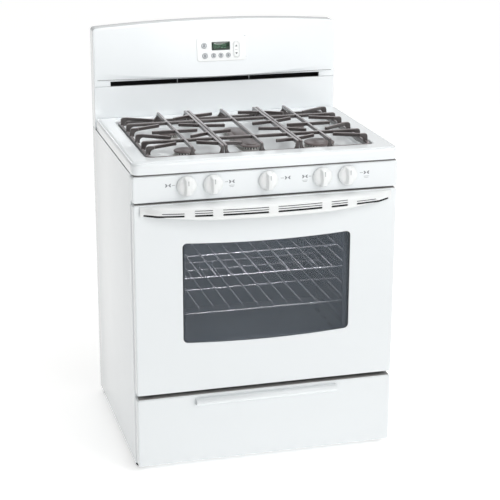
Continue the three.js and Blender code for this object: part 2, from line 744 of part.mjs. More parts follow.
function barWithLegs(x, left, right) {
  return [
    topBar([x, GRATE_FRONT + 1], [x, GRATE_REAR - 1]),
    flaredLeg(x, GRATE_FRONT + RING.width / 2, left, right),
    flaredLeg(x, GRATE_REAR - RING.width / 2, left * 1.4, right * 1.4),
  ];
}

// The foot of an arm on the outer rail: wide at the rail, curving into the arm.
function armFoot(sign, y) {
  const outer = RAIL_X - 0.5;
  const foot = outline([
    [sign * outer, RING.top - 2],
    [sign * outer, GRATE_TOP - 0.5],
    [sign * (outer - 26), GRATE_TOP - 0.5],
    [sign * (outer - 26), GRATE_TOP - BAR.height + 0.5],
    [sign * (outer - 17), GRATE_TOP - BAR.height - 4],
    [sign * (outer - 13), RING.top - 2],
  ]);
  return alongY(foot, y - BAR.width / 2, y + BAR.width / 2);
}

// Fingers as pairs of plan points, from the rail to the tip beside the burner.
const ARM_X = RAIL_X - 20; // where a slanted arm leaves its foot
const OUTER_FINGERS = [
  [[ARM_X, 184], [230, 141]],
  [[ARM_X, 39], [228, 72]],
  [[ARM_X, -41], [228, -90]],
  [[ARM_X, -190], [228, -157]],
];
const INNER_FINGERS = [
  [[INNER_BAR_X, 175], [172, 141]],
  [[INNER_BAR_X, 43], [172, 70]],
  [[INNER_BAR_X, -58], [172, -89]],
  [[INNER_BAR_X, -187], [172, -158]],
];
const CENTER_FINGERS = [
  [[CENTER_BAR_X, 172], [40, 190]],
  [[CENTER_BAR_X, 40], [41, 28]],
  [[CENTER_BAR_X, -52], [41, -38]],
  [[CENTER_BAR_X, -188], [48, -196]],
];

// The base rail of a side grate: round the outside, open towards the centre grate.
function sideRing(sign) {
  const { width, bottom, top } = RING;
  const innerEnd = INNER_BAR_X - BAR.width / 2;
  const rail = (inset) => {
    const sides = [sign * (innerEnd - 60), sign * (RAIL_X - inset)].sort((a, b) => a - b);
    return roundedRect(...sides, GRATE_FRONT + inset, GRATE_REAR - inset, 24 - inset);
  };
  const beyond = [sign * innerEnd, sign * (innerEnd - 80)].sort((a, b) => a - b);
  return cut(alongZ(rail(0), bottom, top), [
    alongZ(rail(width), bottom - 5, top + 5),
    box(...beyond, GRATE_FRONT - 5, GRATE_REAR + 5, bottom - 5, top + 5),
  ]);
}

function sideGrate(sign) {
  const at = ([x, y]) => [sign * x, y];
  const innerFlare = sign > 0 ? [0, 8] : [8, 0];
  const bars = [
    sideRing(sign),
    ...barWithLegs(sign * BURNER_X, 7, 7),
    ...barWithLegs(sign * INNER_BAR_X, ...innerFlare),
    topBar(at([268, -14]), at([134, -14])),
  ];
  for (const y of [REAR_BURNER_Y, FRONT_BURNER_Y]) {
    bars.push(topBar(at([ARM_X, y]), at([INNER_BAR_X, y])), armFoot(sign, y));
  }
  for (const [from, to] of [...OUTER_FINGERS, ...INNER_FINGERS]) bars.push(topBar(at(from), at(to)));
  for (const [[, y]] of OUTER_FINGERS) bars.push(armFoot(sign, y));
  return joined(bars);
}

function centerGrate() {
  const { width, bottom, top } = RING;
  const bars = barWithLegs(0, 7, 7);
  for (const sign of [-1, 1]) {
    const x = sign * CENTER_BAR_X;
    bars.push(...barWithLegs(x, ...(sign > 0 ? [8, 0] : [0, 8])));
    for (const [[x0, y0], [x1, y1]] of CENTER_FINGERS) {
      bars.push(topBar([sign * x0, y0], [sign * x1, y1]));
    }
  }
  for (const y of [REAR_BURNER_Y, FRONT_BURNER_Y]) {
    bars.push(topBar([-CENTER_BAR_X, y], [CENTER_BAR_X, y]));
  }
  const end = CENTER_BAR_X + BAR.width / 2;
  bars.push(box(-end, end, GRATE_FRONT, GRATE_FRONT + width, bottom, top));
  bars.push(box(-end, end, GRATE_REAR - width, GRATE_REAR, bottom, top));
  return joined(bars);
}

place("grate_left", sideGrate(-1), GRATE_ENAMEL);
place("grate_center", centerGrate(), GRATE_ENAMEL);
place("grate_right", sideGrate(1), GRATE_ENAMEL);

// ---------------------------------------------------------------- backguard
const ARCH_DROP = 15; // how much lower the backguard's corners are than its crown
const CONSOLE = { belly: 22, creaseEnd: 1051, creaseMiddle: 1029, bottom: 1008.4 };
const VENT = { halfWidth: 330, top: 1023 };

function archZ(x, inset = 0) {
  return HEIGHT - inset - ARCH_DROP * (x / HALF) ** 2;
}

function archOutline(inset, bottom) {
  const w = HALF - inset;
  const radius = 12;
  const top = evenly(w - radius, -w + radius, 12).map((x) => [x, archZ(x, inset)]);
  const shoulder = archZ(w, inset) - radius;
  return outline([[-w, bottom], [w, bottom], [w, shoulder], ...top, [-w, shoulder]]);
}

function backguardShell() {
  const front = BACKGUARD_Y + SHEET + GAP;
  const shell = alongY(archOutline(0, SKIRT_Z), front, REAR_Y);
  const hollow = alongY(archOutline(SHEET, SKIRT_Z - 10), front - 5, REAR_Y - SHEET);
  return cut(shell, [hollow]);
}

place("backguard_shell", backguardShell(), WHITE_ENAMEL);

function splashPanel() {
  const w = HALF - GAP;
  const top = CONSOLE.bottom - GAP;
  const rear = REAR_Y - SHEET - GAP;
  const sheet = outline([
    [BACKGUARD_Y, SKIRT_Z + 2],
    [BACKGUARD_Y + SHEET, SKIRT_Z + 2],
    [BACKGUARD_Y + SHEET, top - SHEET],
    [rear, top - SHEET],
    [rear, top],
    [BACKGUARD_Y, top],
  ]);
  const narrow = w - SHEET - GAP;
  const corner = mirrorPair(narrow, w + 5, BACKGUARD_Y + SHEET, rear + 5, top - 5, top + 5);
  return cut(alongX(sheet, -w, w), corner);
}

place("splash_panel", splashPanel(), WHITE_ENAMEL);

function creaseZ(x) {
  const { creaseEnd, creaseMiddle } = CONSOLE;
  return creaseMiddle + (creaseEnd - creaseMiddle) * (x / HALF) ** 2;
}

// How far the console's face stands proud of the backguard's front plane.
function belly(x, z) {
  const crown = CONSOLE.belly * (1 - (x / HALF) ** 2);
  const crease = creaseZ(x);
  if (z >= crease) return crown * ((archZ(x) - z) / (archZ(x) - crease));
  const below = (z - VENT.top) / (crease - VENT.top);
  return crown * Math.sqrt(Math.max(0, below));
}

// The keypad lies in the console's sloping face, so it is drawn in a tilted group.
const KEYPAD = { x: 12, z: 1111, halfWidth: 77, halfHeight: 37, proud: 1.5, back: 1.5 };
const KEYPAD_SLOPE = (belly(0, 1080) - belly(0, 1140)) / 60;

const keypad = new THREE.Group();
keypad.position.set(KEYPAD.x, BACKGUARD_Y - belly(KEYPAD.x, KEYPAD.z), KEYPAD.z);
keypad.rotation.x = -Math.atan(KEYPAD_SLOPE);
keypad.updateMatrix();
range.add(keypad);

function consolePanel() {
  const rowsAt = (x) => {
    const crease = creaseZ(x);
    const above = evenly(crease, archZ(x), 3);
    const rise = crease - VENT.top;
    return [VENT.top, VENT.top + rise * 0.15, VENT.top + rise * 0.5, ...above];
  };
  const front = (x, z) => BACKGUARD_Y - belly(x, z);
  const back = (x, z) => front(x, z) + SHEET;
  const plate = curvedPlate(evenly(-HALF, HALF, 14), rowsAt, front, back);
  const backFace = BACKGUARD_Y + SHEET;
  const ends = mirrorPair(VENT.halfWidth, HALF, BACKGUARD_Y, backFace, CONSOLE.bottom, VENT.top + 3);
  const { halfWidth: w, halfHeight: h } = KEYPAD;
  const cutout = prismY(roundedRect(-w - GAP, w + GAP, -h - GAP, h + GAP, 8), -20, 20);
  const opening = solid(cutout.applyMatrix4(keypad.matrix));
  const corner = 12;
  const shoulders = [-1, 1].map((sign) => {
    const z = archZ(HALF);
    const edge = sign * HALF;
    return alongY(
      outline([
        [edge, z - corner],
        [edge + sign * 5, z + 9],
        [edge - sign * corner, z + 9],
        [edge - sign * corner, z + 1],
      ]),
      BACKGUARD_Y - 5,
      BACKGUARD_Y + 5,
    );
  });
  return cut(joined([plate, ...ends]), [opening, ...shoulders]);
}

place("console_panel", consolePanel(), WHITE_ENAMEL);

// Keypad pieces in the keypad's own plane: u to the right, v up, from its centre.
const DISPLAY = { u: -3, v: 8.5, halfWidth: 30, halfHeight: 14.5 };
const KEYS = [
  { name: "key_bake", u: -54, v: 11, radius: 8.5 },
  { name: "key_broil", u: -52, v: -20, radius: 8.5 },
  { name: "key_clean", u: -25, v: -20, radius: 7.5 },
  { name: "key_timer", u: -2, v: -20, radius: 7.5 },
  { name: "key_clock", u: 21, v: -20, radius: 7.5 },
];
const ROCKER = { u: 47, v: -4, radius: 8, half: 15 };
const KEY_PROUD = 1.2;

function keypadPlate() {
  const { halfWidth: w, halfHeight: h, proud, back } = KEYPAD;
  const plate = alongY(roundedRect(-w, w, -h, h, 8), -proud, back);
  const { u, v, halfWidth, halfHeight } = DISPLAY;
  const window = alongY(
    roundedRect(u - halfWidth - GAP, u + halfWidth + GAP, v - halfHeight - GAP, v + halfHeight + GAP, 2),
    -10,
    10,
    2,
  );
  const holes = KEYS.map((key) => rod([key.u, -10, key.v], [key.u, 10, key.v], key.radius + GAP, 12));
  const slot = prismY(stadium(ROCKER.radius + 0.6, ROCKER.half), -10, 10);
  return cut(plate, [window, ...holes, solid(slot.translate(ROCKER.u, 0, ROCKER.v))]);
}

function displayWindow() {
  const { halfWidth, halfHeight } = DISPLAY;
  const pane = roundedRect(-halfWidth, halfWidth, -halfHeight, halfHeight, 2);
  return alongY(pane, -KEYPAD.proud + 0.3, KEYPAD.back, 2);
}

function keyCap(radius) {
  return rod([0, -KEYPAD.proud - KEY_PROUD, 0], [0, KEYPAD.back, 0], radius, 12);
}

function rockerCap() {
  return alongY(stadium(ROCKER.radius, ROCKER.half), -KEYPAD.proud - KEY_PROUD, KEYPAD.back);
}

place("keypad_plate", keypadPlate(), WHITE_PLASTIC, [0, 0, 0], keypad);
place("display_window", displayWindow(), DISPLAY_GREEN, [DISPLAY.u, 0, DISPLAY.v], keypad);
for (const { name, u, v, radius } of KEYS) {
  place(name, keyCap(radius), KEY_GREY, [u, 0, v], keypad);
}
place("key_up_down", rockerCap(), KEY_GREY, [ROCKER.u, 0, ROCKER.v], keypad);

export default range;
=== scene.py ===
"""A freestanding gas range: the looks of each piece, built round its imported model."""

import math

import bmesh
import bpy
from mathutils import Matrix, Vector


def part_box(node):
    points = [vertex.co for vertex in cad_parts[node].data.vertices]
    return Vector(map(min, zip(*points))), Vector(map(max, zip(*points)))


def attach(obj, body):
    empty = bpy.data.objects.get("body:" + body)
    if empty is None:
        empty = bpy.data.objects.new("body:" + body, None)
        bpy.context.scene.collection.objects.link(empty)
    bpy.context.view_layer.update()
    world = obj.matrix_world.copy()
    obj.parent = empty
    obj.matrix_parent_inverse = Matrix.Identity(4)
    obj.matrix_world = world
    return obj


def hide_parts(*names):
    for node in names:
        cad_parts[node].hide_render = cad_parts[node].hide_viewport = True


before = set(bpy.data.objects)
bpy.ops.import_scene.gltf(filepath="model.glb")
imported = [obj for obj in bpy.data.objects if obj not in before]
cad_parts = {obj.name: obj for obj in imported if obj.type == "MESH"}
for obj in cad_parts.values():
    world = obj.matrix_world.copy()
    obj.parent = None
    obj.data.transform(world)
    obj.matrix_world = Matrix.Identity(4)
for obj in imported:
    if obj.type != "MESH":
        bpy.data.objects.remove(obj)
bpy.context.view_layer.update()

bl_info = {
    "name": "Gas Range",
    "version": (1, 0, 0),
    "blender": (4, 5, 0),
    "location": "3D View > Sidebar > Gas Range",
    "description": "Builds the enamel, castings, wires, glass and controls of a gas range",
    "category": "Object",
}

MM = 0.001


# ---------------------------------------------------------------- sizes taken from the frame
def corners(node):
    """Lowest and highest corner of a CAD node, in millimetres."""
    low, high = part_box(node)
    return Vector(low) / MM, Vector(high) / MM


DOOR_LOW, DOOR_HIGH = corners("door_panel")
DRAWER_LOW, DRAWER_HIGH = corners("drawer_front")
PANEL_LOW, PANEL_HIGH = corners("control_panel")
TOP_LOW, TOP_HIGH = corners("cooktop")
SHELL_LOW, SHELL_HIGH = corners("backguard_shell")
SPLASH_LOW = corners("splash_panel")[0]
HANDLE_LOW, HANDLE_HIGH = corners("door_handle")
GLASS_LOW, GLASS_HIGH = corners("door_glass")
LINER_LOW, LINER_HIGH = corners("oven_liner")
HALF = SHELL_HIGH.x
FACE_Y = DOOR_LOW.y
GUARD_Y = SPLASH_LOW.y
SHEET = 1.5
GAP = 0.4


# ---------------------------------------------------------------- node trees
class Graph:
    """Adds nodes to a tree and joins them with short calls."""

    def __init__(self, tree):
        self.tree = tree

    def add(self, kind, inputs=None, **settings):
        node = self.tree.nodes.new(kind)
        for key, value in settings.items():
            setattr(node, key, value)
        for key, value in (inputs or {}).items():
            if isinstance(value, bpy.types.NodeSocket):
                self.tree.links.new(value, node.inputs[key])
            else:
                node.inputs[key].default_value = value
        return node

    def math(self, operation, a, b=0.0, clamp=False):
        return self.add(
            "ShaderNodeMath", {0: a, 1: b}, operation=operation, use_clamp=clamp
        ).outputs[0]

    def mix(self, factor, a, b):
        node = self.add("ShaderNodeMix", {0: factor, 6: a, 7: b}, data_type="RGBA")
        return node.outputs[2]

    def ramp(self, value, low, high, to_low=0.0, to_high=1.0):
        inputs = {"Value": value, 1: low, 2: high, 3: to_low, 4: to_high}
        return self.add("ShaderNodeMapRange", inputs).outputs[0]


def new_group(name, kind, inputs, outputs):
    tree = bpy.data.node_groups.new(name, kind)
    for label, socket_type, default in inputs:
        socket = tree.interface.new_socket(
            name=label, in_out="INPUT", socket_type=socket_type
        )
        if default is not None:
            socket.default_value = default
    for label, socket_type in outputs:
        tree.interface.new_socket(name=label, in_out="OUTPUT", socket_type=socket_type)
    graph = Graph(tree)
    return graph, graph.add("NodeGroupInput").outputs, graph.add("NodeGroupOutput").inputs


FLOAT, COLOR, GEOMETRY = "NodeSocketFloat", "NodeSocketColor", "NodeSocketGeometry"


def surface_grain_group():
    """Fine grain and broad patches in colour, gloss and height."""
    graph, given, out = new_group(
        "surface_grain",
        "ShaderNodeTree",
        [
            ("Base Color", COLOR, (0.8, 0.8, 0.8, 1)),
            ("Base Roughness", FLOAT, 0.4),
            ("Grain Density", FLOAT, 400.0),
            ("Patch Density", FLOAT, 6.0),
            ("Color Contrast", FLOAT, 0.04),
            ("Roughness Contrast", FLOAT, 0.06),
        ],
        [("Color", COLOR), ("Roughness", FLOAT), ("Height", FLOAT)],
    )
    place = graph.add("ShaderNodeTexCoord").outputs["Object"]
    fine = graph.add(
        "ShaderNodeTexNoise",
        {"Vector": place, "Scale": given["Grain Density"], "Detail": 3.0},
    ).outputs[0]
    broad = graph.add(
        "ShaderNodeTexNoise",
        {"Vector": place, "Scale": given["Patch Density"], "Detail": 4.0},
    ).outputs[0]
    both = graph.math("ADD", graph.math("MULTIPLY", fine, 0.4), graph.math("MULTIPLY", broad, 0.6))
    spread = graph.math("SUBTRACT", both, 0.5)
    shade = graph.math("ADD", graph.math("MULTIPLY", spread, given["Color Contrast"]), 1.0)
    tinted = graph.add(
        "ShaderNodeVectorMath",
        {
            0: given["Base Color"],
            1: graph.add("ShaderNodeCombineXYZ", {0: shade, 1: shade, 2: shade}).outputs[0],
        },
        operation="MULTIPLY",
    ).outputs[0]
    gloss = graph.math("MULTIPLY", spread, given["Roughness Contrast"])
    graph.tree.links.new(tinted, out["Color"])
    graph.tree.links.new(
        graph.math("ADD", given["Base Roughness"], gloss, clamp=True), out["Roughness"]
    )
    graph.tree.links.new(fine, out["Height"])
    return graph.tree


def speckle_group():
    """Scattered flecks, as a mask."""
    graph, given, out = new_group(
        "glaze_speckle",
        "ShaderNodeTree",
        [("Fleck Density", FLOAT, 700.0), ("Fleck Size", FLOAT, 0.25)],
        [("Mask", FLOAT)],
    )
    place = graph.add("ShaderNodeTexCoord").outputs["Object"]
    cells = graph.add(
        "ShaderNodeTexVoronoi", {"Vector": place, "Scale": given["Fleck Density"]}
    )
    chosen = graph.add("ShaderNodeSeparateColor", {0: cells.outputs["Color"]}).outputs[0]
    keep = graph.math("GREATER_THAN", chosen, 0.72)
    dot = graph.math("LESS_THAN", cells.outputs["Distance"], given["Fleck Size"])
    graph.tree.links.new(graph.math("MULTIPLY", keep, dot), out["Mask"])
    return graph.tree


def spangle_group():
    """The frosted crystals of a zinc coat, as a mask of many greys."""
    graph, given, out = new_group(
        "zinc_spangle",
        "ShaderNodeTree",
        [("Crystal Density", FLOAT, 110.0)],
        [("Mask", FLOAT)],
    )
    place = graph.add("ShaderNodeTexCoord").outputs["Object"]
    bend = graph.add(
        "ShaderNodeTexNoise", {"Vector": place, "Scale": 60.0, "Detail": 1.0}
    ).outputs["Color"]
    moved = graph.add(
        "ShaderNodeVectorMath", {0: bend, 1: (0.012, 0.012, 0.012), 2: place}, operation="MULTIPLY_ADD"
    ).outputs[0]
    cells = graph.add(
        "ShaderNodeTexVoronoi", {"Vector": moved, "Scale": given["Crystal Density"]}
    )
    grey = graph.add("ShaderNodeSeparateColor", {0: cells.outputs["Color"]}).outputs[1]
    graph.tree.links.new(grey, out["Mask"])
    return graph.tree


def wear_group():
    """Rubbed edges: a mask that is high on sharp outer edges and broken up by noise."""
    graph, given, out = new_group(
        "edge_wear",
        "ShaderNodeTree",
        [("Width", FLOAT, 0.5), ("Break Up", FLOAT, 60.0)],
        [("Mask", FLOAT)],
    )
    bend = graph.add("ShaderNodeNewGeometry").outputs["Pointiness"]
    raised = graph.ramp(bend, 0.51, 0.56)
    place = graph.add("ShaderNodeTexCoord").outputs["Object"]
    noise = graph.add(
        "ShaderNodeTexNoise", {"Vector": place, "Scale": given["Break Up"], "Detail": 3.0}
    ).outputs[0]
    kept = graph.math("MULTIPLY", raised, graph.ramp(noise, 0.3, 0.7))
    graph.tree.links.new(graph.math("MULTIPLY", kept, given["Width"], clamp=True), out["Mask"])
    return graph.tree


def brushed_group():
    """Fine lines drawn along one axis, as a height."""
    graph, given, out = new_group(
        "drawn_lines",
        "ShaderNodeTree",
        [("Stretch", "NodeSocketVector", (4.0, 900.0, 900.0))],
        [("Height", FLOAT)],
    )
    place = graph.add("ShaderNodeTexCoord").outputs["Object"]
    pulled = graph.add(
        "ShaderNodeVectorMath", {0: place, 1: given["Stretch"]}, operation="MULTIPLY"
    ).outputs[0]
    lines = graph.add(
        "ShaderNodeTexNoise", {"Vector": pulled, "Scale": 1.0, "Detail": 2.0}
    ).outputs[0]
    graph.tree.links.new(lines, out["Height"])
    return graph.tree


GROUPS = {}
FINISHES = {}


def place_group(graph, name, inputs):
    makers = {
        "surface_grain": surface_grain_group,
        "glaze_speckle": speckle_group,
        "zinc_spangle": spangle_group,
        "edge_wear": wear_group,
        "drawn_lines": brushed_group,
    }
    if name not in GROUPS:
        GROUPS[name] = makers[name]()
    node = graph.add("ShaderNodeGroup", node_tree=GROUPS[name])
    for key, value in inputs.items():
        node.inputs[key].default_value = value
    return node.outputs


def srgb(text):
    """A linear colour from six hexadecimal digits."""
    parts = [int(text[i : i + 2], 16) / 255 for i in (0, 2, 4)]
    return tuple(c / 12.92 if c <= 0.04045 else ((c + 0.055) / 1.055) ** 2.4 for c in parts) + (1.0,)


def make_finish(
    name,
    color,
    roughness,
    metallic=0.0,
    grain=400.0,
    patch=6.0,
    contrast=0.04,
    gloss_contrast=0.08,
    relief=0.05,
    relief_depth=0.0002,
    fleck=None,
    spangle=None,
    wear=None,
    painted_top_light=None,
    lines=None,
    sockets=None,
):
    """A finish from the shared effects and one shader, with its own values."""
    material = bpy.data.materials.new(name)
    material.use_nodes = True
    material.diffuse_color = color
    graph = Graph(material.node_tree)
    shader = graph.tree.nodes["Principled BSDF"]
    base = place_group(
        graph,
        "surface_grain",
        {
            "Base Color": color,
            "Base Roughness": roughness,
            "Grain Density": grain,
            "Patch Density": patch,
            "Color Contrast": contrast,
            "Roughness Contrast": gloss_contrast,
        },
    )
    tint, gloss, height = base["Color"], base["Roughness"], base["Height"]
    if fleck:
        density, size, fleck_color = fleck
        mask = place_group(graph, "glaze_speckle", {"Fleck Density": density, "Fleck Size": size})["Mask"]
        tint = graph.mix(mask, tint, fleck_color)
    if spangle:
        density, dark = spangle
        mask = place_group(graph, "zinc_spangle", {"Crystal Density": density})["Mask"]
        tint = graph.mix(mask, tint, dark)
        gloss = graph.math("ADD", gloss, graph.math("MULTIPLY", mask, 0.18), clamp=True)
    if wear:
        amount, break_up, worn_and_lit_tint = wear
        mask = place_group(graph, "edge_wear", {"Width": amount, "Break Up": break_up})["Mask"]
        tint = graph.mix(mask, tint, worn_and_lit_tint)
    # Painted top light: faces that point up are blended towards a lighter tint.
    if painted_top_light:
        amount, worn_and_lit_tint = painted_top_light
        normal = graph.add("ShaderNodeTexCoord").outputs["Normal"]
        height_of = graph.add("ShaderNodeSeparateXYZ", {0: normal})
        tilt = graph.math("SUBTRACT", height_of.outputs["Z"], 0.72, clamp=True)
        up = graph.math("MULTIPLY", tilt, 4.0, clamp=True)
        tint = graph.mix(graph.math("MULTIPLY", up, amount), tint, worn_and_lit_tint)
    if lines:
        drawn = place_group(graph, "drawn_lines", {"Stretch": lines})["Height"]
        height = graph.math("ADD", height, drawn)
    links = graph.tree.links
    links.new(tint, shader.inputs["Base Color"])
    links.new(gloss, shader.inputs["Roughness"])
    bump = graph.add(
        "ShaderNodeBump", {"Strength": relief, "Distance": relief_depth, "Height": height}
    )
    links.new(bump.outputs[0], shader.inputs["Normal"])
    shader.inputs["Metallic"].default_value = metallic
    for key, value in (sockets or {}).items():
        shader.inputs[key].default_value = value
    FINISHES[name] = material
    return material


def make_finishes(colors):
    white, plastic = tuple(colors.enamel), tuple(colors.plastic)
    gloss_coat = {"Coat Weight": 0.35, "Coat Roughness": 0.06}
    make_finish(
        "white_enamel", white, 0.22, grain=150.0, contrast=0.012, relief=0.10,
        relief_depth=0.0004, sockets=gloss_coat,
    )
    make_finish(
        "white_plastic", plastic, 0.36, grain=1800.0, contrast=0.015, relief=0.08,
        relief_depth=0.0001,
    )
    make_finish(
        "grey_enamel", tuple(colors.oven), 0.38, grain=500.0, contrast=0.10, relief=0.12,
        relief_depth=0.0003, fleck=(900.0, 0.30, srgb("b9bfc6")), sockets={"Coat Weight": 0.3},
    )
    make_finish(
        "galvanised_sheet", srgb("b4b8ba"), 0.34, metallic=0.85, grain=600.0,
        contrast=0.05, spangle=(190.0, srgb("a2a8ab")),
    )
    make_finish(
        "bare_steel", srgb("a8abae"), 0.32, metallic=1.0, contrast=0.10, relief=0.15,
        lines=(6.0, 700.0, 700.0), relief_depth=0.0001,
    )
    make_finish(
        "chrome_wire", srgb("e6e6ee"), 0.24, metallic=0.6, contrast=0.05,
        gloss_contrast=0.15, patch=25.0,
    )
    make_finish(
        "cast_aluminium", srgb("c9c8c4"), 0.42, metallic=0.9, grain=1400.0, contrast=0.14,
        relief=0.35, relief_depth=0.0003, patch=30.0,
    )
    make_finish(
        "grate_enamel", tuple(colors.grate), 0.30, grain=420.0, patch=22.0, contrast=0.30,
        gloss_contrast=0.22, relief=0.30, relief_depth=0.0004,
        # The second tint lightens the up-facing faces: painted top light.
        wear=(0.5, 70.0, srgb("9b918e")), painted_top_light=(0.75, srgb("93888a")),
        sockets={"Coat Weight": 0.8, "Coat Roughness": 0.22},
    )
    make_finish(
        "cap_enamel", tuple(colors.cap), 0.34, grain=420.0, patch=25.0, contrast=0.16,
        gloss_contrast=0.15, relief=0.22, relief_depth=0.0003,
        sockets={"Coat Weight": 0.35, "Coat Roughness": 0.15},
    )
    make_finish(
        "tinted_glass", tuple(colors.glass), 0.05, contrast=0.02, gloss_contrast=0.03,
        patch=9.0, relief=0.0, sockets={"Alpha": 0.30, "Coat Weight": 0.6, "Coat Roughness": 0.02},
    )
    make_finish(
        "display_glass", tuple(colors.display), 0.10, contrast=0.05, gloss_contrast=0.04,
        relief=0.0, sockets={"Coat Weight": 0.6, "Coat Roughness": 0.03},
    )
    make_finish(
        "dark_rubber", srgb("2f2f30"), 0.75, grain=900.0, contrast=0.25, relief=0.3,
        relief_depth=0.0002,
    )
    make_finish(
        "key_plastic", srgb("ccd0d3"), 0.45, grain=2200.0, contrast=0.05, relief=0.10,
        relief_depth=0.0001,
    )
    # Painted shade: this black stands in for the dark inside slots, ports, gaps and ducts.
    make_finish("flue_black", srgb("0c0c0d"), 0.8, grain=300.0, contrast=0.3, relief=0.2)
    make_finish("printed_grey", srgb("8d9094"), 0.5, grain=2000.0, contrast=0.08, relief=0.02)
    make_finish(
        "display_lit", srgb("7fb08e"), 0.3, contrast=0.02, relief=0.0,
        sockets={"Emission Color": srgb("6fbf8a"), "Emission Strength": 0.12},
    )
    make_finish("printed_dark", srgb("4b5056"), 0.5, grain=2000.0, contrast=0.08, relief=0.02)
    make_finish("shadow_grey", srgb("868482"), 0.5, grain=2000.0, contrast=0.08, relief=0.02)
    make_finish(
        "braided_gasket", srgb("5f6265"), 0.85, grain=1500.0, contrast=0.5, relief=0.8,
        relief_depth=0.0005,
    )
    make_finish("white_ceramic", srgb("ece9e2"), 0.25, grain=700.0, contrast=0.04, relief=0.05)
    make_finish(
        "mineral_wool", srgb("c9b98a"), 0.95, grain=300.0, contrast=0.5, relief=0.9,
        relief_depth=0.003,
    )
    make_finish(
        "studio_floor", tuple(colors.floor), 0.62, grain=40.0, patch=0.6, contrast=0.01,
        relief=0.02, sockets={"Emission Color": (1, 1, 1, 1), "Emission Strength": 0.52},
    )


# ---------------------------------------------------------------- meshes
def rect_ring(x0, x1, z0, z1, radius, bow_low=0.0, bow_high=0.0, along=10, corner=6):
    """Points round a rounded rectangle. A bow moves the middle of the lower or upper edge."""
    radius = max(radius, 0.02)
    middle, half = (x0 + x1) / 2, (x1 - x0) / 2
    points = []
    centres = [
        (x0 + radius, z0 + radius, 180),
        (x1 - radius, z0 + radius, 270),
        (x1 - radius, z1 - radius, 0),
        (x0 + radius, z1 - radius, 90),
    ]
    for k, (cx, cz, start) in enumerate(centres):
        for i in range(corner + 1):
            a = math.radians(start + 90 * i / corner)
            points.append((cx + radius * math.cos(a), cz + radius * math.sin(a)))
        nx, nz, nstart = centres[(k + 1) % 4]
        a = math.radians(nstart)
        goal = (nx + radius * math.cos(a), nz + radius * math.sin(a))
        last = points[-1]
        for i in range(1, along):
            t = i / along
            points.append((last[0] + (goal[0] - last[0]) * t, last[1] + (goal[1] - last[1]) * t))
    if bow_low or bow_high:
        height = z1 - z0
        bowed = []
        for x, z in points:
            lift = 1 - ((x - middle) / half) ** 2
            share = (z - z0) / height
            bowed.append((x, z + lift * (bow_low * (1 - share) + bow_high * share)))
        points = bowed
    return points


def front(ring, y):
    return [(u, y, v) for u, v in ring]


def plan(ring, z):
    return [(u, v, z) for u, v in ring]


def side(ring, x):
    return [(x, u, v) for u, v in ring]


def steps_round(count):
    """Angles of equal steps round a circle."""
    return [2 * math.pi * k / count for k in range(count)]


def arc(steps):
    """(1 - cos, sin) pairs over a quarter turn."""
    for i in range(steps + 1):
        a = math.pi / 2 * i / steps
        yield 1 - math.cos(a), math.sin(a)


class Shape:
    """Points and faces in millimetres, gathered before they become one mesh."""

    def __init__(self):
        self.points = []
        self.faces = []

    def loft(self, rings, start=False, end=False, wrap=False, closed=True):
        count = len(rings[0])
        base = len(self.points)
        for ring in rings:
            self.points.extend(tuple(p) for p in ring)
        pairs = list(range(len(rings) - 1)) + ([len(rings) - 1] if wrap else [])
        for i in pairs:
            a, b = base + i * count, base + ((i + 1) % len(rings)) * count
            for j in range(count if closed else count - 1):
                k = (j + 1) % count
                self.faces.append((a + j, a + k, b + k, b + j))
        if start:
            self.faces.append(tuple(base + j for j in reversed(range(count))))
        if end:
            last = base + (len(rings) - 1) * count
            self.faces.append(tuple(last + j for j in range(count)))
        return self

    def turn(self, profile, centre=(0, 0, 0), axis="Z", steps=48):
        """Turns (radius, height) pairs about an axis; a zero radius closes an end."""

        def spot(radius, height, angle):
            c, s = radius * math.cos(angle), radius * math.sin(angle)
            local = {"Z": (c, s, height), "Y": (c, -height, s), "X": (height, c, s)}[axis]
            return tuple(centre[k] + local[k] for k in range(3))

        rings = [
            [spot(max(r, 0.01), h, 2 * math.pi * j / steps) for j in range(steps)]
            for r, h in profile
        ]
        return self.loft(rings, start=True, end=True)

    def block(self, low, high, radius=1.0, steps=3):
        """A box with rounded edges, as stacked plan rings."""
        (x0, y0, z0), (x1, y1, z1) = low, high
        radius = min(radius, (x1 - x0) / 2.01, (y1 - y0) / 2.01, (z1 - z0) / 2.01)

        def ring(inset, z):
            return plan(
                rect_ring(
                    x0 + inset, x1 - inset, y0 + inset, y1 - inset, radius - inset * 0.9,
                    along=1, corner=3,
                ),
                z,
            )

        rings = [ring(radius * (1 - s), z0 + radius * c) for c, s in arc(steps)]
        rings += [ring(radius * c, z1 - radius * (1 - s)) for c, s in arc(steps)]
        return self.loft(rings, start=True, end=True)

    def tube(self, path, radius, sides=10, closed=False):
        """A round tube along points."""
        path = [Vector(p) for p in path]
        count = len(path)
        frame_up = None
        rings = []
        for i, point in enumerate(path):
            before = path[(i - 1) % count] if closed or i else point
            after = path[(i + 1) % count] if closed or i < count - 1 else point
            ahead = (after - before).normalized()
            if frame_up is None:
                frame_up = ahead.orthogonal().normalized()
            frame_up = (frame_up - ahead * frame_up.dot(ahead)).normalized()
            other = ahead.cross(frame_up)
            rings.append(
                [
                    point + radius * (math.cos(a) * frame_up + math.sin(a) * other)
                    for a in (2 * math.pi * j / sides for j in range(sides))
                ]
            )
        return self.loft(rings, start=not closed, end=not closed, wrap=closed)

    def prism(self, outline, place, low, high):
        """An outline carried between two depths; place makes a point of (u, v, depth)."""
        return self.loft(
            [[place(u, v, depth) for u, v in outline] for depth in (low, high)],
            start=True,
            end=True,
        )

    def moved(self, matrix, since=0):
        self.points[since:] = [tuple(matrix @ Vector(p)) for p in self.points[since:]]
        return self


